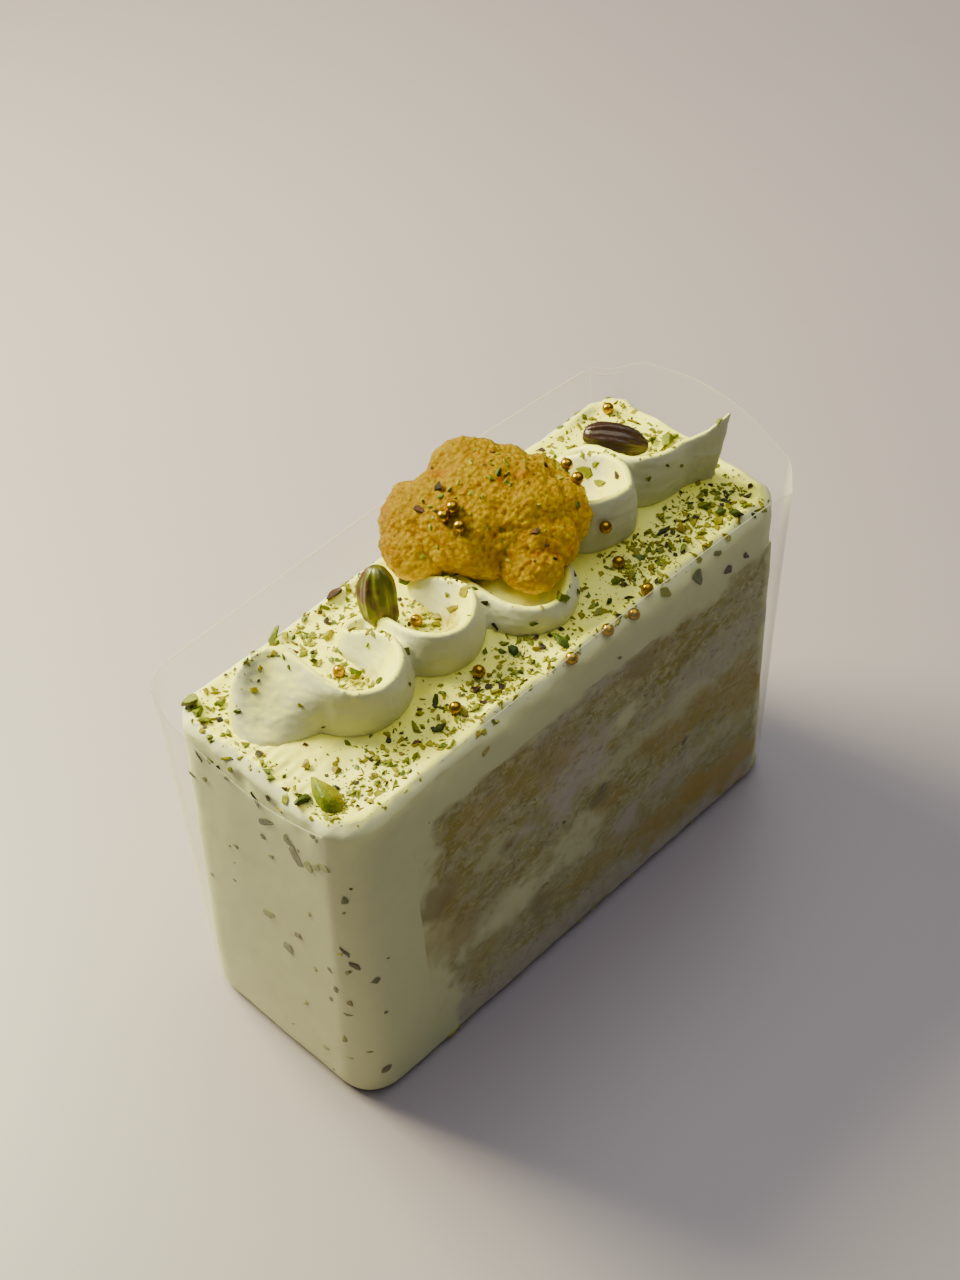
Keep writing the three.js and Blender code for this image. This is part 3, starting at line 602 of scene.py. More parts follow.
# turning points of the rim: x, y, height over the coat, and 1 at a lobe or 0 at a low return
TURNS = np.array(
    (
        (-41.8, 12.4, 10.6, 0), (-34, -8.4, 10.5, 1), (-24.5, 12, 4, 0), (-14.5, -8.2, 10, 1),
        (-6.5, 12, 4, 0), (4.2, -14.2, 6.5, 1), (15, 12, 4, 0), (30.5, -7.8, 12.6, 1),
        (32.5, 12, 6, 0), (46, -6.6, 12, 1), (57, -10.8, 16, 1),
    )
)
RIM_HALF, RIM_ROUND, WALL_SWELL = 0.8, 0.8, 1.1
BOWL_REACH, BACK_REACH = 9.0, 6.5
FAR_SWELL, NEAR_SWELL = 4.2, 2  # how far the rim swells sideways after a lobe and before one
PRESSED_IN = 0.6  # how far the cream's foot goes into the coat
BELLY_PLACES = 61
WAVE_VOXEL, WAVE_SMOOTHING = 0.42, 7
MOUND_RINGS = (24, 40)


def rim_path(stretch, share):
    """The rim between two turning points: it crosses the slice by a cosine step, runs ahead and
    back along it by a sine so that the lobes overhang, swells sideways as a squared sine, and
    changes height late where it leaves a lobe. The first lobe overhangs most."""
    a, b = TURNS[stretch], TURNS[stretch + 1]
    ease = (1 - np.cos(np.pi * share)) / 2
    sway = 0 if a[3] == b[3] else 0.2
    leaving = FAR_SWELL if a[3] and not b[3] else 0
    coming = FAR_SWELL if stretch == 0 else NEAR_SWELL if b[3] and not a[3] else 0
    x = a[0] + (b[0] - a[0]) * (share + sway * np.sin(2 * np.pi * share))
    x = x + (leaving - coming) * np.sin(np.pi * share) ** 2
    late = ease**2 if a[3] else 1 - (1 - ease) ** 2
    y, height, lobe = a[1:, None] + (b - a)[1:, None] * np.stack([ease, late, ease])
    return x, y, height, lobe


def ribbon(stretch):
    """One stretch of the ribbon: a profile of rounded rim, upright bulging wall on one side and
    long hollow slope on the other, carried along the rim. The slope changes sides between a
    lobe and a return, and stays short where the rim turns tightly towards it."""
    share = np.linspace(0, 1, 41)
    x, y, height, lobe = rim_path(stretch, share)
    fine = np.clip(share, 0.04, 0.96)
    (xa, ya), (xb, yb), (xc, yc) = (rim_path(stretch, fine + d)[:2] for d in (-0.04, 0, 0.04))
    dx, dy = xc - xa, yc - ya
    size = np.hypot(dx, dy)
    turned = (xb - xa) * (yc - yb) - (yb - ya) * (xc - xb)
    turned /= np.hypot(xb - xa, yb - ya) * np.hypot(xc - xb, yc - yb)
    radius = size / 2 / np.maximum(np.abs(turned), 1e-3)
    dx, dy, left = dx / size, dy / size, turned > 0
    last = stretch == len(TURNS) - 2
    tail = share if last else 0 * share
    tight = radius * 0.94
    bowl = np.where(left, np.minimum(BOWL_REACH, tight), BOWL_REACH)
    short = np.minimum(BACK_REACH, np.maximum(tight, 2 * RIM_HALF))
    back = np.where(left, BACK_REACH, short)
    down = np.linspace(0, 1, 15)[None, :]
    ring = []
    for side, slope, reach in ((1, lobe, bowl), (-1, 1 - lobe, back)):
        slope, reach = slope[:, None], reach[:, None]
        upright = RIM_HALF + WALL_SWELL * np.sin(np.pi * (0.15 + 0.75 * down)) * down**0.4
        sloping = RIM_HALF + (reach - RIM_HALF) * down
        fall = (1 - down) * (1 - slope) + (1 - down) ** 1.6 * slope
        across = upright + (sloping - upright) * slope
        up = (height[:, None] - RIM_ROUND) * fall
        curl = np.linspace(np.pi / 2, 0, 5)[None, 1:-1]
        over = RIM_HALF * np.cos(curl) + 0 * height[:, None]
        crest = height[:, None] - RIM_ROUND * (1 - np.sin(curl))
        order = slice(None, None, -1) if side == 1 else slice(None)
        band = [np.concatenate([over, across], 1), np.concatenate([crest, up], 1)]
        ring.append((side * band[0][:, order], band[1][:, order]))
    peak = (np.zeros((len(share), 1)), height[:, None])
    across = np.concatenate([ring[0][0], peak[0], ring[1][0]], 1)
    up = np.concatenate([ring[0][1], peak[1], ring[1][1]], 1)
    thin = (1 - 0.6 * tail)[:, None]
    lean = 4.5 * tail[:, None] ** 2 * (1 - up / height[:, None])
    px = x[:, None] - dy[:, None] * across * thin - dx[:, None] * lean
    py = y[:, None] + dx[:, None] * across * thin - dy[:, None] * lean
    return np.stack([px, py, HEIGHT + up - PRESSED_IN], -1)


def ball(rows, columns):
    """Unit ball by latitude rings from the lower to the upper pole."""
    down = np.linspace(np.pi, 0, rows)[:, None]
    turn = np.linspace(0, 2 * np.pi, columns, endpoint=False)[None, :]
    ring = np.sin(down)
    return np.stack([ring * np.cos(turn), ring * np.sin(turn), np.cos(down) + 0 * turn], -1)


def tube_faces(rows, columns):
    """Faces of a tube of rings with one face over each end."""
    first = list(range(columns))
    last = [(rows - 1) * columns + i for i in first]
    return grid_faces(rows, columns, True) + [first[::-1], last]


def fused(name, parts, voxel, smoothing):
    """Several overlapping closed bodies made one by a fine voxel remesh, then smoothed."""
    points, faces, first = [], [], 0
    for part, part_faces in parts:
        part = np.reshape(part, (-1, 3))
        points.append(part)
        faces += [[first + i for i in face] for face in part_faces]
        first += len(part)
    piece = make_piece(name, np.concatenate(points), faces)
    remesh = piece.modifiers.new("remesh", "REMESH")
    remesh.mode, remesh.voxel_size = "VOXEL", voxel * MM
    if smoothing:
        smooth = piece.modifiers.new("smooth", "SMOOTH")
        smooth.factor, smooth.iterations = 0.5, smoothing
    return settled(piece)


def pushed(piece, relief):
    """Moves each point of a piece outwards by a relief in millimetres."""
    points, out = mesh_arrays(piece)
    points = points + out * relief(*points.T)[:, None]
    piece.data.vertices.foreach_set("co", np.ravel(points * MM))
    piece.data.update()


# the ribbon's blunt start: its rim (x, y, height over the coat) from the coat up to the first
# turning point and on to the first lobe, and the foot that its bulging wall comes down to
START_RIM = (
    (-51.0, 15.6, 0.5), (-50.9, 15.0, 4.6), (-50.0, 14.2, 8.4), (-47.6, 13.6, 10.6),
    (-44.6, 13.1, 11.2), (-42.3, 11.4, 11.2), (-41.6, 8.0, 11.1), (-41.6, 4.0, 11.0),
    (-41.6, 0.0, 10.8), (-41.0, -4.0, 10.5), (-39.6, -6.8, 10.2),
)
START_FOOT = (
    (-51.4, 15.8), (-53.2, 13.8), (-54.6, 11.8), (-55.4, 9.4), (-55.3, 7.0), (-54.6, 4.8),
    (-53.2, 2.6), (-51.0, 0.8), (-47.6, -0.8), (-43.9, -2.2), (-41.6, -5.8),
)


def curve_through(places, count):
    """A smooth curve through given places, by Catmull-Rom cubics between them."""
    places = np.array(places, float)
    ends = 2 * places[[0, -1]] - places[[1, -2]]
    places = np.concatenate([ends[:1], places, ends[1:]])
    way = np.linspace(0, len(places) - 3, count)
    step = np.minimum(way.astype(int), len(places) - 4)
    t = (way - step)[:, None]
    a, b, c, d = (places[step + i] for i in range(4))
    return b + t * (c - a + t * (2 * a - 5 * b + 4 * c - d + t * (3 * (b - c) + d - a))) / 2


def belly_shell():
    """The wall of the blunt start: from each place of the rim a slope down to the foot, straight
    at first and rounded under at the foot (with u the share of the way out and v the share of the
    height, u + v ** 1.15 = 1), and an upright back a millimetre behind the rim."""
    rim, foot = (curve_through(line, BELLY_PLACES) for line in (START_RIM, START_FOOT))
    angle = np.linspace(0, np.pi / 2, 18)[None, :, None]
    out, up = np.cos(angle) ** 2, np.sin(angle) ** (2 / 1.15)
    level = rim[:, None, :2] + (foot - rim[:, :2])[:, None] * out
    front = np.concatenate([level, rim[:, None, 2:] * up], -1)
    away = (rim[:, :2] - foot) / np.linalg.norm(rim[:, :2] - foot, axis=1)[:, None]
    rear = [
        np.c_[rim[:, :2] + away * behind, rim[:, 2] * high - low]
        for behind, high, low in (
            (0.7, 1, 0.3), (1.1, 1, 1.2), (1.2, 0.5, 0), (1.2, 0, PRESSED_IN)
        )
    ]
    low_front = np.concatenate([foot, np.full((BELLY_PLACES, 1), -PRESSED_IN)], 1)
    ring = np.concatenate([low_front[:, None], front, np.stack(rear, 1)], 1)
    return ring + (0, 0, HEIGHT)


stretches = [ribbon(i) for i in range(len(TURNS) - 1)]
belly = belly_shell()
# cream pressed up into the third bowl under the rasmalai
mound = ball(*MOUND_RINGS) * (11.5, 9.5, 4.4) + (5.5, -2.0, HEIGHT)
wave = fused(
    "piped_wave_ribbon",
    [(part[:, ::-1], tube_faces(*part.shape[:2])) for part in stretches]
    + [(belly, tube_faces(*belly.shape[:2])), (mound, grid_faces(*MOUND_RINGS, True))],
    WAVE_VOXEL,
    WAVE_SMOOTHING,
)
pushed(
    wave,
    lambda x, y, z: 0.14 * grain(x, y, z * 2, 4.0, 21)
    + 0.07 * grain(x, y, z * 3, 1.6, 22)
    + 0.04 * grain(x, y, z, 0.8, 23),
)
stains_on(
    wave,
    (
        (-9.4, 0.8, 1.4, 4.2, 1.0), (-10.6, 4.6, 0.8, 3.4, 0.9), (-12.5, -3.5, 4.2, 2.6, 0.7),
        (-31, 1.5, 0.8, 3.4, 0.7), (-27.5, -2.0, 2.8, 2.4, 0.3), (-44, -2.3, 1.5, 1.5, 0.5),
        (29, 3, 4, 3.5, 0.3),
    ),
)
# painted shade: the steep walls that face away from the window light get a duller, darker cream,
# and the rest keeps the yellow cream
wave_out = mesh_arrays(wave)[1]
painted_shade = np.clip((0.95 - wave_out[:, 2]) / 0.3, 0, 1) * np.clip((0.4 - wave_out[:, 1]) / 0.4, 0, 1)
keep_share(wave, "painted_shade", painted_shade)
wave.data.materials.append(whipped_cream("piped_cream", "#efeb6c", "#e9e460", 0.42))
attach(wave, "root")
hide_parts("piped_wave")


# ---- The torn rasmalai
# A piece of rasmalai, a flattened ball of fresh curd cheese cooked in syrup and soaked in saffron
# milk. It was torn by hand, so it is a soft heap of lumps with a knobby, grainy, moist surface,
# and it lies across the middle of the wave.
CHUNK_TURN, CHUNK_TILT = np.radians(-44.0), np.radians(25.0)
LUMP_RINGS = (28, 40)
CHUNK_VOXEL, CHUNK_SMOOTHING = 0.3, 55
LIGHT_WAY = (-0.19, 0.75, 0.63)  # the way to the window light; curd facing away from it is painted brighter: painted fill light
# lumps: middle, with its height over the coat, and half sizes along, up the tilt and through
CHUNK_LUMPS = (
    ((7.5, 7.5, 11.2), (15, 11.5, 7.5)), ((0.5, 16, 9.8), (8.5, 7, 6)),
    ((-4.6, 13.6, 7.2), (6.4, 5.6, 4.4)), ((11.5, 15.5, 14.2), (7.4, 5.6, 5.0)),
    ((15.5, 11, 11.8), (7, 6.4, 5)), ((19.4, 6.6, 9.8), (6.6, 6, 5)),
    ((18.2, -0.6, 9.4), (6.0, 6.6, 5.2)), ((5.2, -6.6, 8.2), (5.4, 4.0, 3.5)),
    ((8.7, -2.6, 9.8), (9, 6.2, 4.4)),
)


def chunk_lump(middle, half):
    """A ball stretched by its half sizes, tilted about its long way and turned across."""
    x, y, z = np.moveaxis(ball(*LUMP_RINGS) * half, -1, 0)
    c, s = np.cos(CHUNK_TILT), np.sin(CHUNK_TILT)
    y, z = y * c - z * s, y * s + z * c
    c, s = np.cos(CHUNK_TURN), np.sin(CHUNK_TURN)
    return np.stack([x * c - y * s, x * s + y * c, z + HEIGHT], -1) + middle


def curd_relief(x, y, z):
    """Relief of the torn curd, in millimetres: broad soft swells, and grains of 1 to 2 mm, each
    round on top with a crease about it, that stand out more in some places than in others. Also
    gives how deep a place lies, from 0 on the swells to 1 in the creases."""
    swell = 0.55 * grain(x, y, z, 5.5, 34) + 0.4 * grain(x, y, z, 2.6, 36)
    coarse, small = crumb_pits(x, y, z, 2.3, 32) ** 2, crumb_pits(x, y, z, 0.95, 33) ** 2
    torn = 0.8 + 0.5 * grain(x, y, z, 4.0, 37)
    fine = 0.26 * grain(x, y, z, 1.1, 35) + 0.22 * grain(x, y, z, 0.55, 38)
    relief = 0.9 + swell - torn * (0.2 * coarse + 0.28 * small) + fine
    deep = 0.36 - 0.6 * swell + 0.4 * (coarse - 0.3) + 0.3 * (small - 0.3)
    return relief, np.clip(deep, 0, 1)


def saffron_curd():
    """Saffron-soaked curd: moist grains a millimetre across, strongly scattering, golden, and
    orange where syrup has gathered in its creases. Where the curd faces away from the window
    light, a kept share paints it up to four times brighter: painted fill light."""
    material, tree = blank_finish("saffron_curd")
    place = add(tree, "TexCoord", {}, {}, "Object")
    clouds = add(tree, "TexNoise", {}, {"Vector": place, "Scale": 320, "Detail": 4})
    fine = add(
        tree, "TexNoise", {}, {"Vector": place, "Scale": 1500, "Detail": 5, "Roughness": 0.7}
    )
    deep = add(tree, "Attribute", {"attribute_name": "deep"}, {}, 2)
    shifted = add(tree, "MapRange", {}, {"Value": clouds, 1: 0.3, 2: 0.7, 3: -0.22, 4: 0.22})
    share = add(tree, "Math", {"operation": "ADD", "use_clamp": True}, {0: deep, 1: shifted})
    cells = add(tree, "TexVoronoi", {}, {"Vector": place, "Scale": 850})
    steps = (
        (share, 0.15, 0.5, 1.0, "#745900"),
        (share, 0.55, 0.95, 1.0, "#744000"),
        (cells, 0.3, 0.65, 0.5, "#5c3c00"),
    )
    colour = tinted(tree, "#7a6300", steps)
    # painted fill light: the colour is brighter where the curd faces away from the window light
    painted_fill = add(tree, "Attribute", {"attribute_name": "painted_fill"}, {}, 2)
    value = add(tree, "MapRange", {}, {"Value": painted_fill, 3: 1.05, 4: 4.4})
    colour = add(tree, "HueSaturation", {}, {"Value": value, "Color": colour})
    height = add(tree, "Math", {"operation": "MULTIPLY_ADD"}, {0: cells, 1: -0.9, 2: fine})
    bump = add(tree, "Bump", {}, {"Strength": 0.75, "Distance": 0.0005, "Height": height})
    shader = add(
        tree, "BsdfPrincipled", {},
        {
            "Base Color": colour,
            "Roughness": 0.5,
            "Specular IOR Level": 0.3,
            "Specular Tint": "#ffc800",
            "Subsurface Weight": 0.4,
            "Subsurface Radius": (1.0, 0.7, 0.05),
            "Subsurface Scale": 0.002,
            "Normal": bump,
        },
    )
    add(tree, "OutputMaterial", {}, {"Surface": shader})
    return material


lump_faces = grid_faces(*LUMP_RINGS, True)
chunk = fused(
    "rasmalai_chunk_torn",
    [(chunk_lump(*lump), lump_faces) for lump in CHUNK_LUMPS],
    CHUNK_VOXEL,
    CHUNK_SMOOTHING,
)
chunk_relief, chunk_deep = curd_relief(*mesh_arrays(chunk)[0].T)
pushed(chunk, lambda x, y, z: chunk_relief)
keep_share(chunk, "deep", chunk_deep)
chunk_facing_light = mesh_arrays(chunk)[1] @ LIGHT_WAY
# painted fill light: the share grows where the curd faces away from the window light
keep_share(chunk, "painted_fill", (0.62 - chunk_facing_light) / 0.9)
chunk.data.materials.append(saffron_curd())
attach(chunk, "root")
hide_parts("rasmalai_chunk")


# ---- The pistachio kernels
# Shelled pistachios: one whole kernel leans in the wave and one with its dark skin lies at the
# far end. A kernel is a pointed oval with ridges along it, green flesh under a thin purple-brown
# skin that has partly rubbed off.
KERNEL_RINGS = (44, 64)


def kernel(at, half, rise, heading, roll, seed):
    """A kernel: an oval that narrows to one end, with ridges along it that fade at the ends,
    a dent along one side and fine wrinkles, laid along a heading and a rise."""
    down = np.linspace(np.pi, 0, KERNEL_RINGS[0])[:, None]
    turn = np.linspace(0, 2 * np.pi, KERNEL_RINGS[1], endpoint=False)[None, :]
    end = np.cos(down)
    body = np.sin(down) ** 0.74 * (1 - 0.16 * np.maximum(end, 0) ** 2)
    ridges = 0.075 * np.cos(7 * turn + 0.6 * end) + 0.05 * np.cos(12 * turn + 1.2 * end + seed)
    dent = -0.1 * np.exp(-(((np.mod(turn + np.pi, 2 * np.pi) - np.pi) / 0.3) ** 2))
    thick = body * (1 + (ridges + dent) * np.sin(down) ** 0.5)
    x = half[0] * end * (1 + 0.06 * np.maximum(end, 0)) + 0 * turn
    y = half[1] * thick * np.cos(turn) + 0.07 * half[0] * (1 - end**2)
    z = half[2] * thick * np.sin(turn)
    wrinkle = 0.16 * grain(x * 0.5, y, z, 1.5, seed) + 0.08 * grain(x * 0.4, y, z, 0.6, seed + 1)
    y, z = y * (1 + wrinkle / half[1]), z * (1 + wrinkle / half[2])
    roll, rise, heading = np.radians((roll, rise, heading))
    y, z = y * np.cos(roll) - z * np.sin(roll), y * np.sin(roll) + z * np.cos(roll)
    x, z = x * np.cos(rise) - z * np.sin(rise), x * np.sin(rise) + z * np.cos(rise)
    x, y = x * np.cos(heading) - y * np.sin(heading), x * np.sin(heading) + y * np.cos(heading)
    return np.stack([x, y, z + HEIGHT], -1) + at


def nut_finish(name, flesh, deep, skin, skin_share):
    """Pistachio flesh and skin: satin with a little oil, green deepening in soft clouds, and
    papery purple-brown skin in patches 2 to 4 mm across."""
    material, tree = blank_finish(name)
    place = add(tree, "TexCoord", {}, {}, "Object")
    clouds = add(tree, "TexNoise", {}, {"Vector": place, "Scale": 330, "Detail": 4})
    patches = add(tree, "TexNoise", {}, {"Vector": place, "Scale": 210, "Detail": 3})
    fine = add(tree, "TexNoise", {}, {"Vector": place, "Scale": 1900, "Detail": 3})
    edge = 0.72 - 0.42 * skin_share
    steps = (
        (clouds, 0.36, 0.66, 1.0, deep),
        (patches, edge - 0.05, edge + 0.05, 1.0, skin),
    )
    colour = tinted(tree, flesh, steps)
    bump = add(tree, "Bump", {}, {"Strength": 0.3, "Distance": 0.0003, "Height": fine})
    shader = add(
        tree, "BsdfPrincipled", {},
        {
            "Base Color": colour,
            "Roughness": 0.33,
            "Subsurface Weight": 0.05,
            "Subsurface Scale": 0.0008,
            "Normal": bump,
        },
    )
    add(tree, "OutputMaterial", {}, {"Surface": shader})
    return material


kernel_faces = grid_faces(*KERNEL_RINGS, True)
for node, slot, at, half, angles, tones in (
    (
        "pistachio_whole", "pistachio", (-18.9, 9.2, 7.4), (6.3, 3.9, 3.5), (69, 58, -60),
        ("#64601a", "#42460a", "#43271d", 0.38),
    ),
    (
        "pistachio_dark", "pistachio_skin", (44, 7.6, 5.0), (6.4, 3.1, 2.7), (-8, -56, 40),
        ("#2c300f", "#1a1c0c", "#2c1612", 0.95),
    ),
):
    nut = make_piece(node + "_kernel", kernel(at, half, *angles, len(node)), kernel_faces)
    welded(nut, 0.01)
    nut.data.materials.append(nut_finish(node + "_flesh", *tones))
    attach(nut, "root")
    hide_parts(node)


# ---- Chopped nuts
# The larger bits of chopped pistachio: flat-sided wedges and slivers 1 to 6 mm long, pressed into
# the cream by hand. Some are green flesh, some yellow, some still carry purple-brown skin; the
# ones on the front and in the cut side lie under the film, half sunk in cream.
UPRIGHT = 0.8  # a surface whose outward direction rises less than this lies under the film
FILM_ROOM = 0.3  # the film presses the bits under it flat, to this far out of the cream
LARGE_BIT = 1.5  # a bit with a greater half length has more corners and blunted edges

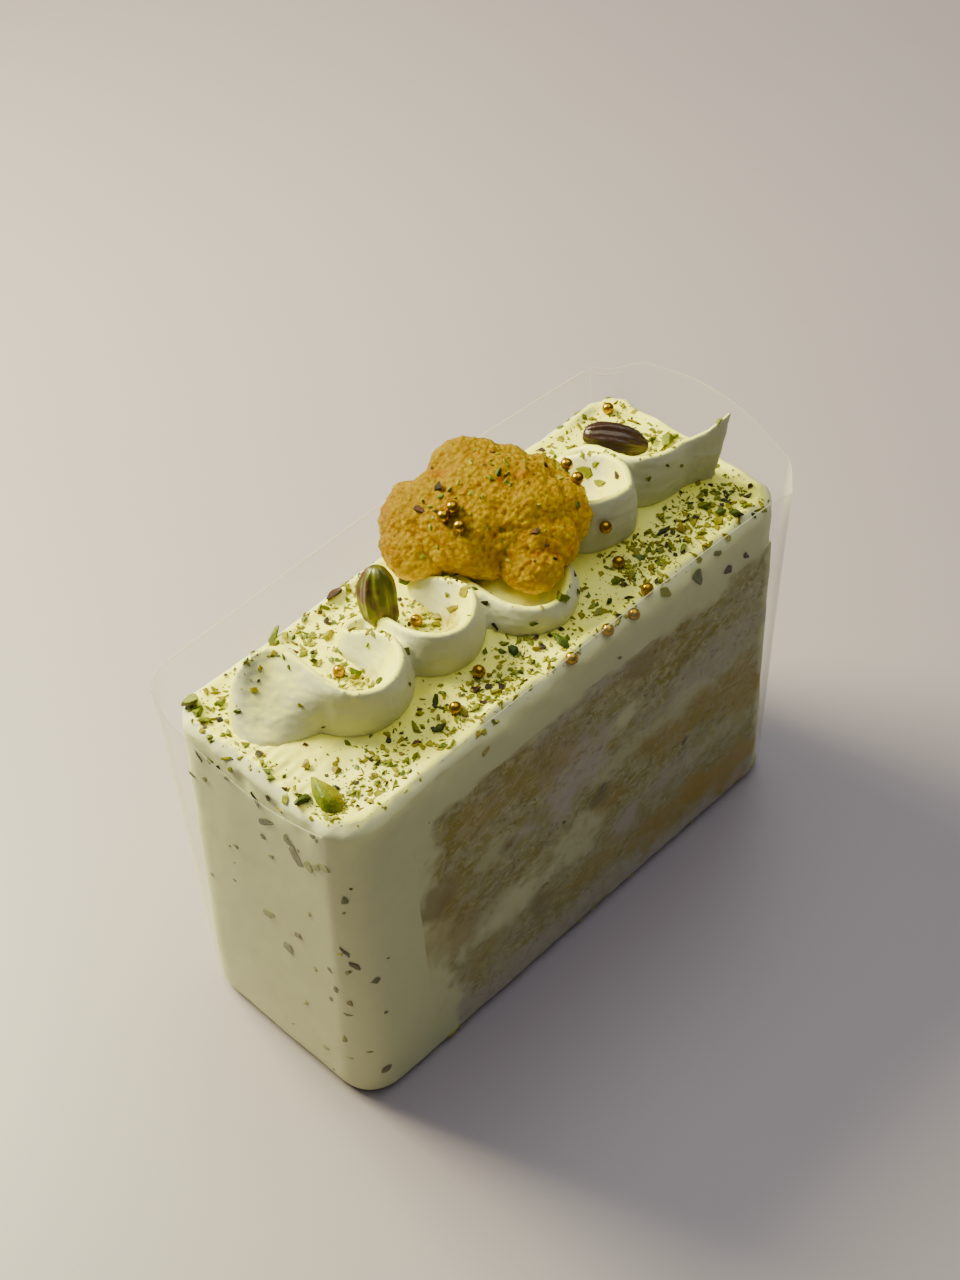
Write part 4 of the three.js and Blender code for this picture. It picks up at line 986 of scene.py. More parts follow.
# each bit: x, y, height over the coat, half length, half width, heading, and its tone from 0
# (orange) by yellow, olive, green and nearly black to 1 (red-brown)
# on the coat, the wave and the rasmalai
CHIPS = (
    (-60.1, -3.1, -10, 2.9, 0.9, 32, 0.74), (-60.1, -8.1, -10.8, 1.7, 1, -86, 0.56),
    (-60, 15.1, -6.4, 1.6, 0.4, -44, 0.86), (-60, 9, -4.7, 1, 0.7, 16, 0.98),
    (-60, 6.1, -3, 1.1, 0.8, 74, 0.36), (-60, 6.9, -6.7, 1.2, 0.8, -4, 0.9),
    (-60, -0.4, -6, 2.1, 0.6, -54, 0.9), (-60, -1.2, -15.7, 0.9, 0.8, -52, 0.76),
    (-59.9, 14.5, -12.5, 1.1, 0.6, 56, 0.24), (-59.8, 11.9, -5.3, 1, 0.8, 23, 0.5),
    (-59.8, 18.7, -14.7, 1.7, 0.3, 19, 0.8), (-59.8, -3.6, -2.8, 1, 0.7, 28, 0.97),
    (-59.8, -6.6, -4.2, 1.4, 0.9, 48, 0.18), (-59.4, 7.3, -1, 1.3, 0.5, 36, 0.28),
    (-58.9, -7.5, -0.4, 1.3, 0.8, 36, 0.3), (-58.8, 12.6, 0, 0.6, 0.3, -59, 0.1),
    (-58.3, -6, 0, 1.3, 0.5, -40, 0.98), (-57.9, -2.7, 0.2, 1, 0.6, -35, 0.34),
    (-57.7, -10.5, -0.2, 2.7, 1.2, 10, 0.76), (-57.2, 15.6, 0.1, 1.6, 0.8, -30, 0.4),
    (-56.6, 18, 0.1, 1.4, 1, 40, 0.5), (-56, 10.4, 0, 0.7, 0.7, -32, 0.36),
    (-55.4, 21, 0.1, 3.2, 1.8, -83, 0.42), (-54.1, 10.5, 4.4, 0.9, 0.7, 29, 0.66),
    (-52.1, 17.1, 0, 1.1, 0.9, -69, 0.5), (-51.5, -4.8, -0.2, 1.3, 1, -71, 0.05),
    (-51, 8.1, 9.6, 0.9, 0.7, -63, 0.14), (-50.1, -15.1, -0.7, 1.1, 0.7, -30, 0.42),
    (-48.6, -1.7, 0.3, 0.6, 0.4, -43, 0.98), (-48.2, -9.3, -0.8, 1.1, 0.8, -7, 0.04),
    (-47.6, -17, -0.5, 0.8, 0.4, -23, 0.22), (-47.1, 10.3, 10.9, 0.6, 0.6, -64, 0.2),
    (-46.4, 1.3, 6.5, 0.8, 0.4, -8, 0.25), (-44.7, 6.6, 11.7, 0.6, 0.3, -100, 0.5),
    (-44.4, -18.2, -0.5, 1.2, 0.3, 25, 0.93), (-44.3, -2.3, 2, 0.8, 0.2, 10, 0.02),
    (-43.2, 9.2, 11.6, 0.7, 0.4, 28, 0.5), (-42.3, -13.5, -0.7, 0.9, 0.7, -21, 0.68),
    (-40.3, -13.6, -0.4, 0.8, 0.3, -39, 0.4), (-40, 20.4, 0.4, 1.6, 1.2, 10, 0.32),
    (-39.9, -19.7, 0, 0.7, 0.3, 42, 0.8), (-38.7, -17.4, -0.3, 1.1, 0.7, 27, 0.42),
    (-36.9, -17.9, 0, 1, 0.9, -3, 0.32), (-36.4, -13.6, 0.2, 0.9, 0.6, 19, 0.16),
    (-35.1, 20.2, 0.3, 0.5, 0.4, -35, 0.55), (-35, 21.4, 0.6, 2.9, 1.1, 25, 0.45),
    (-34.9, -15.7, 0.2, 1.3, 0.6, -47, 0.98), (-34.1, 16.4, -0.3, 1.1, 0.6, -63, 0.95),
    (-33.7, 12.3, 0, 1, 1, 32, 0.72), (-33.1, 20.3, 0.3, 0.7, 0.8, -35, 0.14),
    (-33.1, -20.2, 0.3, 0.8, 0.3, -55, 0.2), (-32.4, -13.2, 0.4, 1.8, 0.7, -114, 0.4),
    (-31.4, 3.2, 0, 1, 0.8, -76, 0.06), (-30.6, -2.7, 3.4, 1.7, 0.9, 59, 0.66),
    (-30.5, -20.9, 0.6, 1.6, 0.4, 29, 0.34), (-30.4, 4, 0, 1.3, 1, -49, 0.5),
    (-29.7, -12, 0.5, 0.9, 0.7, -51, 0.22), (-29.6, 17.9, -0.1, 1.4, 0.3, -65, 0.5),
    (-29.2, 3.7, 0, 0.7, 0.8, -50, 0.36), (-29.1, -16.6, 0, 2.2, 0.9, -20, 0.68),
    (-28.8, 10, 0.3, 1.3, 0.9, 49, 0.66), (-28.6, -8.2, 5.1, 1, 0.4, -61, 0.6),
    (-27.3, 14.6, 0, 1.6, 0.9, 19, 0.12), (-26.9, 4.2, 5.1, 0.6, 0.5, 29, 0.45),
    (-26.8, 21.6, -0.1, 0.9, 0.6, -72, 0.2), (-25.3, -11.4, 0.2, 1.3, 0.6, 36, 0.66),
    (-24.6, -22.2, -0.2, 1.1, 0.6, -34, 0.2), (-24.5, 16.2, 0.2, 0.8, 0.6, -50, 0.6),
    (-23.4, -2.4, 5.3, 1.7, 0.8, -44, 0.36), (-23, 20.2, 0.3, 1.1, 0.6, -47, 0.35),
    (-22.7, 6.7, 3.7, 1.1, 0.9, 67, 0.1), (-22.2, -18.3, 0.7, 1.6, 0.7, -3, 0.3),
    (-19.8, 21.6, 0.4, 2.3, 1.7, 10, 0.93), (-18.6, -14.8, -0.3, 1.5, 0.8, -70, 0.98),
    (-16.3, 20.4, 0.5, 1.1, 0.8, 21, 0.14), (-16.2, -18.2, 0, 1.3, 0.7, -49, 0.06),
    (-13.9, -13.9, -0.3, 0.6, 0.6, -46, 0.05), (-12.1, 1.9, 0.4, 1.4, 0.7, -55, 0.12),
    (-11.6, -20, 0.3, 0.9, 0.4, 37, 0.36), (-11.5, -14, -0.1, 0.9, 0.6, 28, 0.28),
    (-10.5, 2.7, 0.4, 1.3, 0.9, -19, 0.1), (-9.6, -17.7, -0.3, 0.8, 0.4, -84, 0.68),
    (-9, 0.2, 4.1, 1.7, 1, 61, 0.02), (-8.9, 12.6, 2.9, 1.9, 1.3, 17, 0.6),
    (-8.6, -19.3, 0, 0.8, 0.6, -53, 0.16), (-8.2, 2.6, 4.8, 0.8, 0.6, 28, 0.42),
    (-7.5, -1.5, 7.8, 1.6, 1, 53, 0.1), (-6.5, -12.7, -0.4, 1.6, 1, -105, 0.68),
    (-6.3, 1.5, 7.8, 0.6, 0.3, 23, 0.84), (-6.2, -10.4, -0.4, 1.1, 0.8, -25, 0.4),
    (-5.4, -6.9, 1.3, 1.3, 0.6, -40, 0.9), (-5.3, -21.6, 0.4, 0.6, 0.4, -60, 0.5),
    (-4.3, -3.6, 4.2, 1.2, 0.6, 28, 0.9), (-4, -11.7, -0.4, 1, 0.6, 36, 0.3),
    (-3.8, -16.2, -0.2, 1.2, 0.7, -63, 0.04), (-3.8, 4.6, 5.9, 0.6, 0.4, -12, 0.93),
    (-3.6, -0.4, 5, 1, 0.3, -80, 0.6), (-3.1, -12.8, -0.3, 0.6, 0.7, -50, 0.42),
    (-3.1, 13.7, 15, 1.4, 0.8, -88, 0.98), (-2.2, -17.2, 0, 0.6, 0.6, -53, 0.95),
    (-2, 14.3, 16.7, 0.7, 0.4, 40, 0.5), (-1.9, -15.5, -0.1, 0.9, 0.4, 8, 0.4),
    (-1.8, 10.9, 16.2, 1.1, 0.4, -80, 0.92), (-1.4, -13.9, -0.2, 1, 0.4, 10, 0.95),
    (-1.3, -13.2, 3, 0.9, 0.5, 10, 0.66), (0.2, -18.8, 0.4, 2.6, 1.3, -78, 0.6),
    (1.5, 13.3, 18.4, 1.3, 0.9, -82, 0.95), (2, -21.7, 0.3, 0.8, 0.5, 38, 0.4),
    (2.5, 11.2, 18.3, 0.5, 0.6, -57, 0.45), (5.2, -14.3, 5.8, 1.2, 0.9, -40, 0.44),
    (5.4, -14.5, 5.6, 1.4, 0.9, -31, 0.42), (8.5, -5.2, 13.4, 1.1, 0.7, -22, 1),
    (9.1, 19, 18.6, 0.6, 0.4, 40, 0.45), (10.1, -13.6, 3.1, 0.9, 0.7, -46, 0.68),
    (10.3, 4.8, 19.5, 0.8, 0.7, -50, 0.52), (10.9, 7.2, 19.3, 1.3, 0.7, 26, 0.62),
    (11, -18, -0.2, 1.4, 0.9, 11, 0.3), (12.2, -11, 4.1, 1.4, 0.3, -8, 0.95),
    (14.3, -18, 0, 1.1, 0.4, 29, 0.8), (14.3, -17.7, 0, 1.1, 0.6, 30, 0.74),
    (14.3, 12.1, 19, 0.8, 0.6, -40, 0.98), (17.9, -19.6, -0.3, 1.1, 0.6, -51, 0.92),
    (18.9, 4, 16.8, 0.7, 0.4, -12, 0.4), (19.2, -5.6, 14.1, 0.7, 0.5, 37, 0.66),
    (19.5, -15.1, -0.4, 1.2, 1.1, -55, 0.5), (21.1, -12.4, -0.3, 1, 0.3, -78, 0.5),
    (25, -22.7, -2, 2, 1, -31, 0.24), (25.3, -21.2, -0.6, 0.9, 0.7, -34, 0.34),
    (26.7, -17.8, -0.2, 1.1, 1, -32, 0.08), (27.3, -14.3, -0.4, 1.2, 0.7, -62, 0.6),
    (32.9, 1.4, 5.3, 2, 0.7, 34, 0.28), (33.2, -10.5, -0.2, 1.2, 0.9, -7, 0.34),
    (33.2, -23.2, -4.1, 3, 1.6, -82, 0.55), (33.2, 5.6, 5.3, 2.2, 1.3, 15, 0.36),
    (33.4, -2.3, 9.4, 1.4, 0.8, 18, 0.93), (34.3, 3.3, 7.8, 1.2, 0.8, 28, 0.3),
    (34.5, -18.6, -0.4, 1.3, 0.9, 0, 0.32), (35, -22, -0.9, 1, 0.7, -90, 0.24),
    (35.2, -12.8, -0.3, 2.2, 0.6, -6, 0.84), (37.8, -21.3, -0.4, 1.1, 0.8, -41, 0.03),
    (38, -15.4, -0.3, 1.4, 1.1, -50, 0.08), (38.2, -9.5, -0.4, 1.3, 0.7, -101, 0.22),
    (38.7, -5.7, 6.8, 0.9, 0.6, 45, 0.42), (39.3, -22.9, -2.4, 1.3, 0.8, -17, 0.56),
    (40, -14.3, -0.1, 1.2, 0.7, -33, 0.98), (40.2, -18.2, -0.5, 1.3, 1.2, -50, 0.34),
    (42.2, -7.2, 9, 0.9, 0.4, -47, 0.52), (42.6, -22.2, -0.9, 1.3, 0.9, -19, 0.1),
    (42.7, -23.4, -8.7, 1.4, 1, -21, 0.9), (43.6, -12, -0.4, 1, 0.7, 16, 0.24),
    (44.5, -19.1, -0.3, 1.1, 0.9, -55, 0.12), (45.4, -8.4, 0.1, 0.5, 0.5, -48, 0.84),
    (45.6, -14.1, -0.1, 1.7, 1, -47, 0.34), (45.8, -8, 7, 0.7, 0.4, -33, 0.34),
    (46.9, -17.6, -0.1, 1.2, 1.1, -4, 0.6), (47.8, -20.5, 0.3, 2.6, 1.3, -118, 0.74),
    (48.1, -23.5, -8.8, 1.2, 0.8, -65, 0.92), (48.8, -12.3, 0.2, 0.8, 0.2, -108, 0.5),
    (50.1, -13.9, 0, 0.8, 0.3, 11, 0.4), (50.5, 3.1, 0, 1.1, 0.8, 25, 0.12),
    (50.9, -20.6, 0.4, 0.8, 0.7, -61, 0.42), (51.9, -22.2, -0.2, 1.1, 0.4, -20, 0.24),
    (51.9, -23, -1, 0.8, 0.4, -28, 0.08), (52.3, 8.7, 0.1, 1.6, 0.9, -104, 0.38),
    (52.6, 5, 1.2, 1.5, 1, 0, 0.7), (53.1, -13.1, -0.2, 0.7, 0.4, -51, 0.36),
    (53.6, -18.8, 0, 1.1, 0.6, -63, 0.93), (54, 3.2, 1.5, 1.9, 1.5, 40, 0.36),
    (55.6, -17.3, 0.3, 0.9, 0.6, -54, 0.97), (56.2, 2.2, 1, 1.2, 0.9, 70, 0.3),
)
# pressed into the front and its near corner, under the film
FRONT_CHIPS = (
    (-53.8, -10.5, -0.4, 0.1, 0.1, -39, 0.5), (-60, -15.5, -3.2, 0.8, 0.6, 11, 0.97),
    (-60, -16.5, -3.7, 0.9, 0.4, 68, 0.9), (-59.9, -17.4, -10.7, 1.7, 1.1, 6, 0.38),
    (-60.1, -10.7, -11.6, 0.6, 0.6, 40, 0.9), (-60, -15.5, -12.3, 1.6, 0.8, 55, 0.52),
    (-60.1, -10.2, -14, 3.3, 1.8, -81, 0.9), (-60.1, -13.3, -14.5, 2.2, 1.3, -83, 0.34),
    (-57.8, -21.6, -15.1, 0.4, 0.3, -9, 0.8), (-58.9, -20.6, -18.3, 1.1, 0.9, -71, 0.66),
    (-60.1, -2.4, -20.7, 1.2, 0.9, 66, 0.62), (-59, -20.4, -22.2, 0.8, 0.4, 14, 0.38),
    (-60.3, 7.5, -26.6, 1, 1, 42, 0.86), (-60.3, 9.6, -27.6, 0.8, 0.4, 74, 0.8),
    (-60.2, -12, -29.5, 0.8, 0.7, 42, 0.42), (-60.3, 9.2, -32.5, 0.9, 0.3, 41, 0.5),
    (-59.5, -20, -34.2, 1.8, 0.7, -58, 0.84), (-59.9, -19, -34.9, 1, 0.7, 25, 0.16),
    (-58.7, -21.1, -38, 1.9, 0.9, -48, 0.93), (-60.4, 9.7, -38.4, 0.6, 0.3, 2, 0.88),
    (-60.3, -7.6, -39.7, 1.1, 1.1, -52, 0.96), (-60.4, 0.1, -40.3, 2.5, 1, 29, 0.5),
    (-59.2, -20.4, -40.6, 1.4, 0.8, 30, 0.34), (-60.4, -16.1, -42.7, 1.4, 0.6, -51, 0.8),
    (-60.4, 17, -43.1, 0.7, 0.6, 43, 0.9), (-55.9, -23.4, -43.8, 1.2, 1, 46, 0.7),
    (-60.5, -11.7, -46.2, 1, 0.7, -57, 0.34), (-60.5, -5.3, -46.6, 2.9, 1.6, 7, 0.72),
    (-60.5, -17.2, -48, 1.2, 1, 42, 0.9), (-59.8, -20.1, -50.1, 1, 0.9, 29, 0.05),
    (-60.5, -15.6, -52.6, 0.8, 0.6, 45, 0.88), (-60.1, -19.4, -54.5, 1.2, 0.7, 40, 0.6),
    (-60.6, -7.5, -61.9, 1.1, 0.7, 45, 0.1), (-60.5, -18.2, -63.1, 1.1, 0.8, 70, 0.28),
    (-58.2, -22.4, -66.2, 0.8, 0.3, 4, 0.34), (-60.4, -18.8, -69.5, 1, 0.4, 19, 0.3),
    (-60.7, -12.1, -72.5, 1.1, 0.8, 24, 0.5), (-55.6, -23.9, -73.2, 1.4, 0.9, 13, 1),
    (-60.8, -2.6, -73.8, 0.7, 0.3, 45, 0.6), (-60.8, -13.8, -78.5, 0.4, 0.3, 47, 0.93),
)
# crumbs of nut and saffron sponge on the cut side and along its foot
SIDE_CHIPS = (
    (-54.5, -24, -55, 0.6, 0.4, -45, 0.8), (-52.7, -23.9, -39.3, 0.6, 0.4, -29, 0.6),
    (-39.6, -23.5, -11.6, 0.4, 0.3, -42, 0.85), (-38.4, -24.6, -80.2, 1.6, 0.8, 0, 0.1),
    (-36, -24.6, -80.2, 0.9, 0.6, 0, 0.1), (-25.3, -22.5, -0.4, 0.6, 0.4, -38, 0.5),
    (-25.1, -23.4, -4.8, 1.1, 1.6, -43, 0.12), (-20.4, -23.8, -36.9, 1.3, 0.8, -27, 0.98),
    (-10.6, -24.1, -57.9, 1.1, 0.9, -45, 0.02), (-4.5, -23.8, -44, 1.1, 0.5, -57, 0.8),
    (-0.6, -24.6, -80.2, 1, 0.6, 0, 0.12), (3.8, -24.6, -80.2, 0.7, 0.6, 0, 0.1),
    (6.3, -23.8, -43, 2.1, 0.6, 16, 0.95), (11.2, -23.5, -8.6, 0.8, 0.5, -49, 0.7),
    (15.5, -24.6, -80.2, 0.9, 0.6, 0, 0.14), (18.9, -23.5, -25.9, 0.6, 0.4, -32, 0.95),
    (31.7, -23.8, -50.2, 1.7, 0.7, 46, 0.97), (34.9, -24.6, -80.2, 1, 0.7, 0, 0.12),
    (55.2, -24.6, -80.2, 1.2, 0.8, 0, 0.1), (58, -24.6, -80.2, 1.8, 1.2, 0, 0.06),
)


def hulled(place, bevel):
    """The hull of a few corners: flat sides and sharp edges, cut back by a bevel."""
    hull = bmesh.new()
    for corner in place:
        hull.verts.new(corner)
    made = bmesh.ops.convex_hull(hull, input=hull.verts)
    inside = [v for v in made["geom_interior"] if isinstance(v, bmesh.types.BMVert)]
    bmesh.ops.delete(hull, geom=inside, context="VERTS")
    if bevel:
        bmesh.ops.bevel(
            hull, geom=hull.edges[:], offset=bevel, segments=1, profile=0.5, affect="EDGES"
        )
        bmesh.ops.triangulate(hull, faces=hull.faces[:])
    bmesh.ops.recalc_face_normals(hull, faces=hull.faces[:])
    hull.verts.index_update()
    points = np.array([v.co for v in hull.verts])
    faces = np.array([[v.index for v in face.verts] for face in hull.faces])
    hull.free()
    return points, faces


def cut_bit(corners, bevel, rng):
    """A bit of chopped nut of unit size: the hull of a few corners thrown on a ball."""
    place = rng.normal(size=(corners, 3))
    place /= np.linalg.norm(place, axis=1)[:, None]
    place *= rng.uniform(0.75, 1.1, (corners, 1))
    return hulled(place / np.abs(place).max(0), bevel)


def tree_of(piece):
    """A search tree of a finished piece, for setting things on it."""
    return BVHTree.FromObject(piece, bpy.context.evaluated_depsgraph_get())


carriers = [tree_of(piece) for piece in (coat, wave, chunk, *layers)]


def nearest_place(x, y, up):
    """The point of the slice nearest to a place, in millimetres, and the way out from it."""
    hits = [tree.find_nearest(Vector((x, y, HEIGHT + up)) * MM) for tree in carriers]
    best = min(hits, key=lambda hit: hit[3])
    return np.array(best[0]) / MM, np.array(best[1])


def resting_place(x, y):
    """Point, in millimetres, and outward direction where something dropped at x, y comes to
    rest, and the number of the carrier."""
    start = Vector((x * MM, y * MM, 0.2))
    hits = [tree.ray_cast(start, Vector((0, 0, -1))) for tree in carriers[:3]]
    best = max(range(3), key=lambda i: hits[i][0].z if hits[i][0] else -1)
    if hits[best][0] is None:
        return None
    return np.array(hits[best][0]) / MM, np.array(hits[best][1]), best


def laid(out, heading):
    """Three directions for something laid on a surface: along a heading, across it and out. The
    heading is measured from the level way, or on a level surface from the slice's length."""
    if abs(out[2]) < 0.75:
        level = np.cross((0, 0, 1), out)
    else:
        level = np.array((1, 0, 0)) - out * out[0]
    level /= np.linalg.norm(level)
    turn = np.radians(heading)
    first = level * np.cos(turn) + np.cross(out, level) * np.sin(turn)
    return np.array([first, np.cross(out, first), out])


def chopped_nut_finish(name, veil, light):
    """Chopped pistachio: matte cut faces. The tone kept on each bit takes it from orange and
    yellow by olive and green to nearly black and to purple-brown skin. The bits under the film
    are drawn lighter, with a veil of smeared cream over them in the side cream, painted darker as
    painted shade."""
    material, tree = blank_finish(name)
    place = add(tree, "TexCoord", {}, {}, "Object")
    tone = add(tree, "Attribute", {"attribute_name": "tone"}, {}, 2)
    clouds = add(tree, "TexNoise", {}, {"Vector": place, "Scale": 620, "Detail": 4})
    fine = add(tree, "TexNoise", {}, {"Vector": place, "Scale": 2400, "Detail": 3})
    shifted = add(tree, "MapRange", {}, {"Value": clouds, 1: 0.3, 2: 0.7, 3: -0.09, 4: 0.09})
    tone = add(tree, "Math", {"operation": "ADD"}, {0: tone, 1: shifted})
    steps = (
        (tone, 0.03, 0.12, 1.0, "#827a00"),
        (tone, 0.2, 0.32, 1.0, "#666c06"),
        (tone, 0.42, 0.52, 1.0, "#4c5a06"),
        (tone, 0.58, 0.68, 1.0, "#2a3804"),
        (tone, 0.74, 0.82, 1.0, "#1b200a"),
        (tone, 0.85, 0.92, 1.0, "#2c1710"),
        (tone, 0.95, 1.0, 1.0, "#4e2c18"),
    )
    colour = tinted(tree, "#6c5c00", steps)
    dim, bright = 0.75 * light, 1.3 * light
    value = add(tree, "MapRange", {}, {"Value": fine, 1: 0.3, 2: 0.7, 3: dim, 4: bright})
    colour = add(tree, "HueSaturation", {}, {"Value": value, "Color": colour})
    if veil:
        share = add(tree, "MapRange", {}, {"Value": clouds, 1: 0.3, 2: 0.7, 3: 0.1, 4: veil})
        # the veil is the side cream, painted darker as painted shade
        colour = add(tree, "Mix", COLOURS, {0: share, 6: colour, 7: SHADED_SIDE_CREAM}, 2)
    bump = add(tree, "Bump", {}, {"Strength": 0.4, "Distance": 0.0003, "Height": fine})
    shader = add(
        tree, "BsdfPrincipled", {},
        {"Base Color": colour, "Roughness": 0.5, "Specular IOR Level": 0.25, "Normal": bump},
    )
    add(tree, "OutputMaterial", {}, {"Surface": shader})
    return material


chip_rng = np.random.default_rng(51)
# name, bits, half thickness as a share of the half width and its most, how much of that stands
# out of the surface, how far they lean in degrees, the veil and how much lighter they are
for name, bits, thick, most, stands, lean, veil, light in (
    ("nut_chips", CHIPS, 0.75, 1.3, 0.45, 16, 0, 1),
    ("nut_chips_front", FRONT_CHIPS, 0.6, 0.45, 0.1, 3, 0.2, 1.25),
    ("nut_chips_side", SIDE_CHIPS, 0.6, 0.5, 0.0, 3, 0.2, 1.5),
):
    chip_points, chip_faces, chip_tones, first = [], [], [], 0
    for x, y, up, half_length, half_across, heading, tone in bits:
        corners, bevel = (14, 0.07) if half_length > LARGE_BIT else (9, 0)
        shape, faces = cut_bit(corners, bevel, chip_rng)
        half = min(thick * half_across, most)
        rest, out = nearest_place(x, y, up)
        tilt = np.radians(chip_rng.uniform(-lean, lean, 2))
        shape = shape * (half_length, half_across, half)
        shape[:, 2] += shape[:, 0] * np.tan(tilt[0]) + shape[:, 1] * np.tan(tilt[1])
        if abs(out[2]) < UPRIGHT:
            shape[:, 2] = np.minimum(shape[:, 2], FILM_ROOM - half * stands)
        chip_points.append(shape @ laid(out, heading) + rest + out * half * stands)
        chip_faces += (faces + first).tolist()
        chip_tones.append(np.full(len(shape), tone))
        first += len(shape)
    chips = make_piece(
        name, np.concatenate(chip_points), chip_faces, {"tone": np.concatenate(chip_tones)}, False
    )
    chips.data.materials.append(chopped_nut_finish("chopped_" + name, veil, light))
    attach(chips, "root")


# The largest bit is a split half kernel cut to a wedge, green on one side of its ridge and yellow
# on the other. Its corners round the foot and along the ridge: x, y, height over the coat
HALF_CORNERS = (
    (-52.6, -7.2, 0.2), (-55.2, -10.2, 0.2), (-56.5, -12.9, 0.2), (-57.0, -15, 0.2),
    (-56.4, -16.2, 0.2), (-54.8, -17.2, 0.2), (-52.8, -16.7, 0.2), (-51.5, -13.2, 0.2),
    (-53.2, -9.0, 1.5), (-54.4, -11.0, 2.2), (-55.5, -13.6, 2.6), (-55.3, -15.6, 1.9),
    (-53.6, -14.9, 1.7), (-53.0, -12.0, 2.0),
)
half_points, half_faces = hulled(np.array(HALF_CORNERS), 0.25)
past_ridge = (half_points[:, 0] + 52.6) * 0.974 - (half_points[:, 1] + 7.2) * 0.227
half_tone = np.interp(past_ridge, (-1.0, 0.6), (0.47, 0.16))
half_nut = make_piece(
    "pistachio_half_wedge", half_points + (0, 0, HEIGHT), half_faces.tolist(),
    {"tone": half_tone}, False,
)
half_nut.data.materials.append(bpy.data.materials["chopped_nut_chips"])
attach(half_nut, "root")
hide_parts("pistachio_half")


# ---- Nut crumbs
# The dust and small splinters of the same chopped pistachios, strewn over everything: thickest
# in front of the far lobes and in the open bowls, thin on the rasmalai.
CRUMB_SLOPE = 0.62  # crumbs stay where the outward direction rises more than this
CRUMB_THICK, CRUMB_STANDS = 0.26, 0.16  # shares of a crumb's half length

# x, y and half spread of each handful, and how many crumbs it holds
HANDFULS = (
    (0, -15, 57, 8, 520), (38, -15, 17, 7, 620), (8, -18, 26, 6, 300), (-16, -17, 10, 5, 160),
    (-34, -16, 16, 6, 260), (-50, -14, 9, 7, 160), (-57.4, 4, 2.6, 14, 90), (-33, 17, 26, 6, 420),
    (-31, 3, 7, 6, 240), (-11, 3, 6, 6, 260), (30, 4, 7, 6, 190), (49, 6, 8, 12, 280),
    (46, 18, 12, 5, 130), (8, 6, 15, 12, 120), (-22, 13, 12, 8, 160),
)
# each kind of crumb keeps one tone: more yellow and olive than green, a few of dark skin
CRUMB_TONES = (0.04, 0.08, 0.1, 0.13, 0.15, 0.18, 0.22, 0.28, 0.34, 0.42, 0.56, 0.9)


def strewn(rests, outs, sizes, rng):
    """Crumbs laid at given places: a few small flat-sided bits, one to each tone, used again and
    again, each stretched, turned at random about the way out and set into the surface."""
    points, faces, first = [], [], 0
    kinds = rng.integers(0, len(CRUMB_TONES), len(rests))
    for kind in range(len(CRUMB_TONES)):
        shape, shape_faces = cut_bit(8, 0, rng)
        mine = kinds == kind
        count = int(mine.sum())
        out, size = outs[mine], sizes[mine]
        spin = rng.uniform(0, 2 * np.pi, (count, 1))
        level = np.cross(out, (0.3, 0.9, 0.2))
        level /= np.linalg.norm(level, axis=1)[:, None]
        one = level * np.cos(spin) + np.cross(out, level) * np.sin(spin)
        turned = np.stack([one, np.cross(out, one), out], 1)
        across = rng.uniform(0.35, 0.8, count)
        stretch = np.stack([0 * size + 1, across, 0 * size + CRUMB_THICK], -1)
        bits = shape[None] * (stretch * size[:, None])[:, None, :]
        bits = np.einsum("nvi,nij->nvj", bits, turned)
        bits += (rests[mine] + out * (size * CRUMB_STANDS)[:, None])[:, None, :]
        points.append(bits.reshape(-1, 3))
        step = len(shape) * np.arange(count)[:, None, None]
        faces.append((shape_faces[None] + step + first).reshape(-1, 3))
        first += count * len(shape)
    return points, np.concatenate(faces)


crumb_rng = np.random.default_rng(61)
rests, outs = [], []
for x, y, half_x, half_y, count in HANDFULS:
    for drop_x, drop_y in zip(
        crumb_rng.uniform(x - half_x, x + half_x, count),
        crumb_rng.normal(y, half_y * 0.55, count),
    ):
        found = resting_place(drop_x, drop_y)
        if found and found[1][2] > CRUMB_SLOPE and found[0][2] > HEIGHT - 2:
            rests.append(found[0])
            outs.append(found[1])
rests, outs = np.array(rests), np.array(outs)
sizes = 0.2 + 0.9 * crumb_rng.uniform(0, 1, len(rests)) ** 2.8
crumb_points, crumb_faces = strewn(rests, outs, sizes, crumb_rng)
tones = [np.full(len(part), tone) for part, tone in zip(crumb_points, CRUMB_TONES)]
crumbs = make_piece(
    "nut_crumbs",
    np.concatenate(crumb_points),
    crumb_faces.tolist(),
    {"tone": np.concatenate(tones)},
    False,
)
crumbs.data.materials.append(bpy.data.materials["chopped_nut_chips"])
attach(crumbs, "root")


# ---- The sugar pearls
# Gold sugar pearls 2.5 mm across: sugar balls with a shiny edible gold coat, slightly uneven,
# dropped on the coat, in the bowls of the wave and on the rasmalai.
PEARL_RADIUS, PEARL_RINGS = 1.25, (16, 24)
FILM_HOLDS = -22.8  # the film on the near side keeps the pearls' middles inside this y
# x, y and height over the coat
PEARLS = (
    (-14.3, 4.6, 0.2), (-15.2, -12.3, -0.2), (-24.9, -16.2, 0.6), (-1.4, -22.1, 0.1),
    (8.5, -22.1, -0.2), (15.6, -22.9, -1.2), (22.8, -12.6, -0.4), (21.2, -21.0, -0.3),
    (23.8, -7.9, 6.6), (53.4, 18.1, 0.4), (-32.6, 6.2, -0.2), (1.1, 8.4, 16.9), (-1.4, 8.4, 16.1),
    (-0.4, 6.3, 14.7), (24.8, 3.4, 13.8), (22.8, -1.3, 14.6),
)


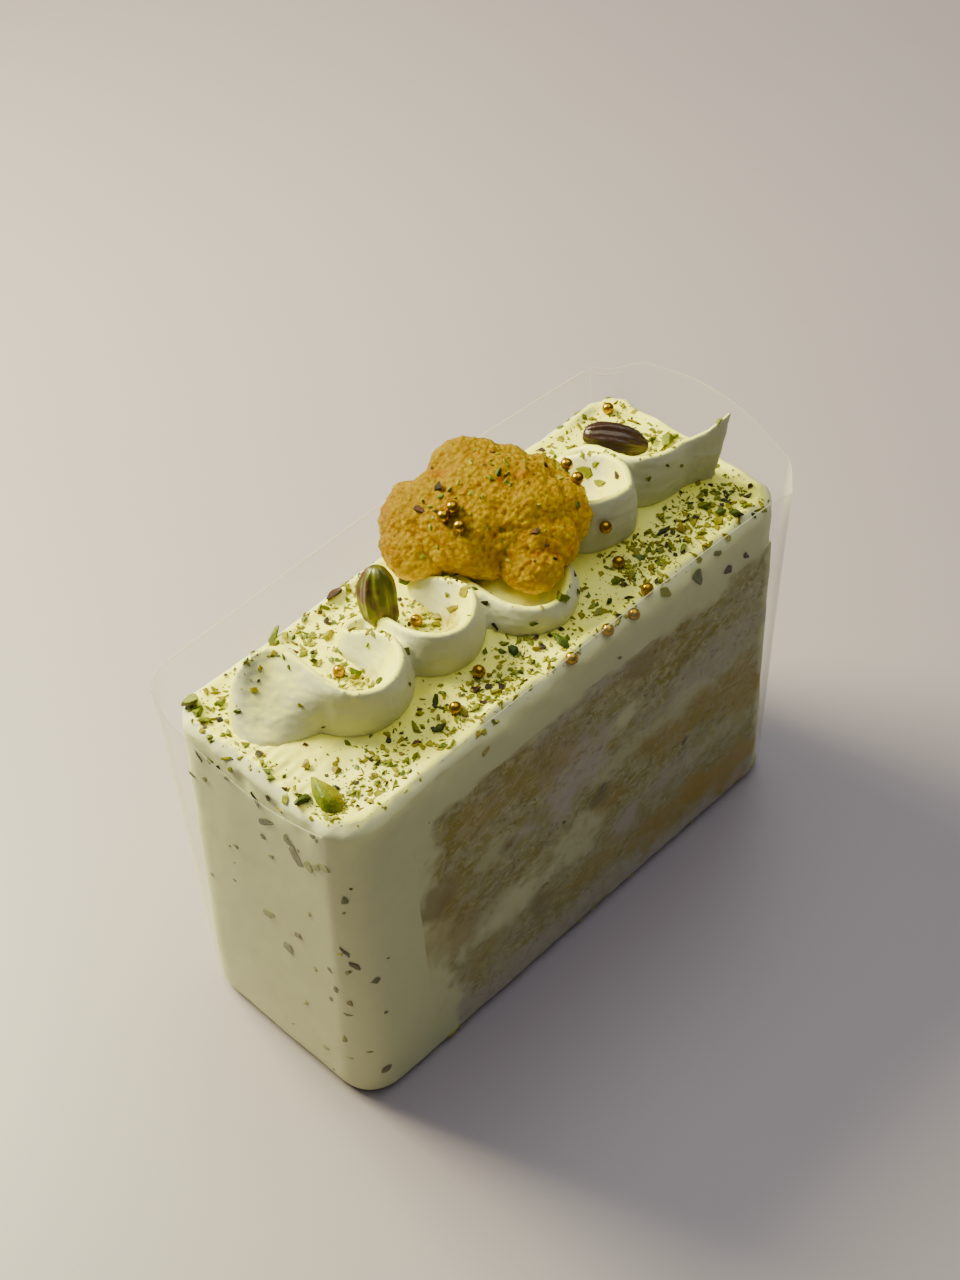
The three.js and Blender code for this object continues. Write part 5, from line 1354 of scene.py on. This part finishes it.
def gold_pearl_finish():
    """Edible gold on sugar: a metal-like coat, a little uneven, a warm mirror at this size."""
    material, tree = blank_finish("gold_pearl")
    place = add(tree, "TexCoord", {}, {}, "Object")
    clouds = add(tree, "TexNoise", {}, {"Vector": place, "Scale": 1300, "Detail": 3})
    colour = add(tree, "Mix", COLOURS, {0: clouds, 6: "#bd9000", 7: "#805e00"}, 2)
    rough = add(tree, "MapRange", {}, {"Value": clouds, 3: 0.16, 4: 0.34})
    bump = add(tree, "Bump", {}, {"Strength": 0.2, "Distance": 0.0002, "Height": clouds})
    shader = add(
        tree, "BsdfPrincipled", {},
        {"Base Color": colour, "Metallic": 0.9, "Roughness": rough, "Normal": bump},
    )
    add(tree, "OutputMaterial", {}, {"Surface": shader})
    return material


pearl_rng = np.random.default_rng(71)
pearl_points = []
for place in PEARLS:
    rest, out = nearest_place(*place)
    uneven = 1 + 0.03 * pearl_rng.normal(size=3)
    middle = rest + out * PEARL_RADIUS * 0.75
    middle[1] = max(middle[1], FILM_HOLDS)
    pearl_points.append(ball(*PEARL_RINGS) * PEARL_RADIUS * uneven + middle)
pearl_points = np.array(pearl_points)
pearl_faces = np.array(grid_faces(*PEARL_RINGS, True))
pearl_first = np.prod(PEARL_RINGS) * np.arange(len(PEARLS))
pearl_faces = pearl_faces[None] + pearl_first[:, None, None]
pearls = make_piece("sugar_pearls", pearl_points, pearl_faces.reshape(-1, 4).tolist())
welded(pearls, 0.01)
pearls.data.materials.append(gold_pearl_finish())
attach(pearls, "root")


# ---- The clear film
# A strip of clear acetate, wrapped once round the slice with its ends lapped at the far back
# corner. It clings to the cream on the long sides and the front, and springs out round the far
# end. Its top edge was cut uneven and stands above the cream except at the front.
FILM_THICKNESS, FILM_FOOT = 0.25, 0.3
FILM_START, FILM_END = 3.25, 11.8  # where it starts and ends, counted as outline() counts
FILM_LAP = 0.8  # how much further out it runs by the end
# how far its top stands off and how high it is, at the middle of each stretch of the outline
FILM_STAND = (0.3, 1.8, 7.0, 2.4, 2.6, 2.4, 0.4, 0.4)
FILM_TOP = (85.6, 82.0, 86.0, 82.4, 88.4, 87.6, 77.0, 87.0)


def eased(values, way):
    """A value given at the middle of each stretch, eased by a cosine from one to the next."""
    place = np.mod(way - 0.5, 8)
    low = np.floor(place).astype(int)
    ease = (1 - np.cos(np.pi * (place - low))) / 2
    values = np.array(values)
    return values[low] * (1 - ease) + values[(low + 1) % 8] * ease


def film_strip():
    """The strip: a thin flat profile, foot to top on the inside and back down on the outside,
    carried round the slice. It stands off in proportion to its height, and the last stretch
    steps outside the first."""
    way = np.linspace(FILM_START, FILM_END, 620)[:, None]
    lap = np.clip(way - 10, 0, 1)
    lap = lap * lap * (3 - 2 * lap)
    top = eased(FILM_TOP, way) + 0.9 * lap
    up = np.append(np.linspace(0, 0.994, 29), 1)[None, :]
    z = FILM_FOOT + (top - FILM_FOOT) * up
    spread = 1 - z / HEIGHT
    half_x, half_y = LENGTH / 2 + spread, WIDTH / 2 + spread
    x, y, nx, ny = outline(way + 0 * z, half_x, half_y, corner_radius(z))
    ripple = 0.12 * np.sin(way * 5 + z / 23) * np.clip(z / 40, 0, 1)
    out = 0.55 + FILM_LAP * lap + eased(FILM_STAND, way) * z / HEIGHT + ripple
    inside = np.stack([x + nx * out, y + ny * out, z], -1)
    outer = out + FILM_THICKNESS * np.clip(z / 3, 0.15, 1)
    outside = np.stack([x + nx * outer, y + ny * outer, z], -1)
    edge = np.clip((up - 1) * (top - FILM_FOOT) / 0.45 + 1, 0, 1) + 0 * z
    return np.concatenate([inside[:, ::-1], outside], 1), np.concatenate([edge[:, ::-1], edge], 1)


def clear_acetate():
    """Clear acetate film: sharp gloss, almost no tint, a faint haze where damp cream has touched
    it, and a cut edge that catches the light. It shows more where it is seen edge on, and not at
    its wet foot."""
    material, tree = blank_finish("clear_acetate")
    place = add(tree, "TexCoord", {}, {}, "Object")
    haze = add(tree, "TexNoise", {}, {"Vector": place, "Scale": 60, "Detail": 5})
    haze = add(tree, "MapRange", {}, {"Value": haze, 1: 0.45, 2: 0.75, 3: 0.01, 4: 0.07})
    gloss = add(tree, "LayerWeight", {}, {"Blend": 0.5}, "Facing")
    gloss = add(tree, "Math", {"operation": "POWER"}, {0: gloss, 1: 4.0})
    gloss = add(tree, "Math", {"operation": "MULTIPLY"}, {0: gloss, 1: 0.5})
    edge = add(tree, "Attribute", {"attribute_name": "edge"}, {}, 2)
    edge = add(tree, "Math", {"operation": "MULTIPLY"}, {0: edge, 1: 0.11})
    share = add(tree, "Math", {"operation": "ADD"}, {0: haze, 1: gloss})
    share = add(tree, "Math", {"operation": "ADD", "use_clamp": True}, {0: share, 1: edge})
    high = add(tree, "SeparateXYZ", {}, {"Vector": place}, 2)
    dry = add(tree, "MapRange", {}, {"Value": high, 1: 0.001, 2: 0.006})
    share = add(tree, "Math", {"operation": "MULTIPLY"}, {0: share, 1: dry})
    seen = add(
        tree, "BsdfPrincipled", {},
        {"Base Color": "#e6e4cc", "Roughness": 0.08, "IOR": 1.48},
    )
    clear = add(tree, "BsdfTransparent", {}, {})
    shader = add(tree, "MixShader", {}, {0: share, 1: clear, 2: seen})
    add(tree, "OutputMaterial", {}, {"Surface": shader})
    return material


film_points, film_edge = film_strip()
rows, columns = film_points.shape[:2]
cap_in, cap_out = np.arange(columns // 2), columns - 1 - np.arange(columns // 2)
film_cap = np.stack([cap_in[:-1], cap_in[1:], cap_out[1:], cap_out[:-1]], -1)
film_faces = grid_faces(rows, columns, True)
film_faces += film_cap[:, ::-1].tolist() + (film_cap + (rows - 1) * columns).tolist()
film = make_piece("clear_film_strip", film_points, film_faces, {"edge": film_edge})
film.data.materials.append(clear_acetate())
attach(film, "root")
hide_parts("clear_film")


# ---- The table, the light and the camera
# A plain pale tabletop with a faint sheen, one large soft light from the upper left and behind,
# a weak even light all round, and a camera at the photograph's angle.
def pale_table():
    """Pale laminate: a light lilac grey, slightly mottled, with a broad soft sheen."""
    material, tree = blank_finish("pale_table")
    place = add(tree, "TexCoord", {}, {}, "Object")
    clouds = add(tree, "TexNoise", {}, {"Vector": place, "Scale": 9, "Detail": 4})
    colour = add(tree, "Mix", COLOURS, {0: clouds, 6: "#9d91a3", 7: "#978b9d"}, 2)
    shader = add(tree, "BsdfPrincipled", {}, {"Base Color": colour, "Roughness": 0.42})
    add(tree, "OutputMaterial", {}, {"Surface": shader})
    return material


TABLE_HALF, TABLE_BELOW = 1500.0, 0.05
table_points = np.array([(-1, -1, 0), (1, -1, 0), (1, 1, 0), (-1, 1, 0)]) * TABLE_HALF
table = make_piece("table", table_points - (0, 0, TABLE_BELOW), [[0, 1, 2, 3]])
table.data.materials.append(pale_table())


def soft_light(name, at, aim, size, power, colour):
    """A square soft light at a place in metres, turned to a point."""
    lamp = bpy.data.lights.new(name, "AREA")
    lamp.size, lamp.energy, lamp.color = size, power, colour
    light = bpy.data.objects.new(name, lamp)
    light.location = at
    light.rotation_euler = (Vector(aim) - Vector(at)).to_track_quat("-Z", "Y").to_euler()
    bpy.context.scene.collection.objects.link(light)


# name, place, what it is turned to, size, power and colour
soft_light("window", (-0.085, 0.34, 0.345), (0, 0, 0.06), 0.2, 8.8, (1.0, 0.98, 0.5))
soft_light("ceiling", (0.3, 0.05, 1.2), (0, 0, 0), 1.2, 11.0, (1.0, 1.05, 0.88))

ROOM_COLOUR, ROOM_STRENGTH = (0.92, 1.0, 1.0, 1), 0.09
surround = bpy.data.worlds.new("room")
surround.use_nodes = True
for number, value in enumerate((ROOM_COLOUR, ROOM_STRENGTH)):
    surround.node_tree.nodes["Background"].inputs[number].default_value = value
bpy.context.scene.world = surround

# the camera's angles, its distance from the slice's middle and its sideways shift, fitted to
# the slice's corners; the focal length is for a 36 mm sensor on the picture's long side
azimuth, elevation, roll = np.radians((-44.208, 47.357, -2.302))
distance, slide = 482.14, (2.550, -19.214)
back = np.array(
    [
        np.sin(azimuth) * np.cos(elevation),
        -np.cos(azimuth) * np.cos(elevation),
        np.sin(elevation),
    ]
)
level = np.array([np.cos(azimuth), np.sin(azimuth), 0])
upward = np.cross(back, level)
right = np.cos(roll) * level + np.sin(roll) * upward
above = np.cos(roll) * upward - np.sin(roll) * level
spot = -slide[0] * right - slide[1] * above + distance * back + (0, 0, HEIGHT / 2)
lens = bpy.data.cameras.new("camera")
lens.sensor_fit, lens.sensor_height, lens.lens = "VERTICAL", 36, 67.67
lens.clip_start = 0.01
camera = bpy.data.objects.new("camera", lens)
stand = np.eye(4)
stand[:3, :3] = np.stack([right, above, back], 1)
stand[:3, 3] = spot * MM
camera.matrix_world = Matrix(stand.tolist())
bpy.context.scene.collection.objects.link(camera)
bpy.context.scene.camera = camera

bpy.context.view_layer.update()
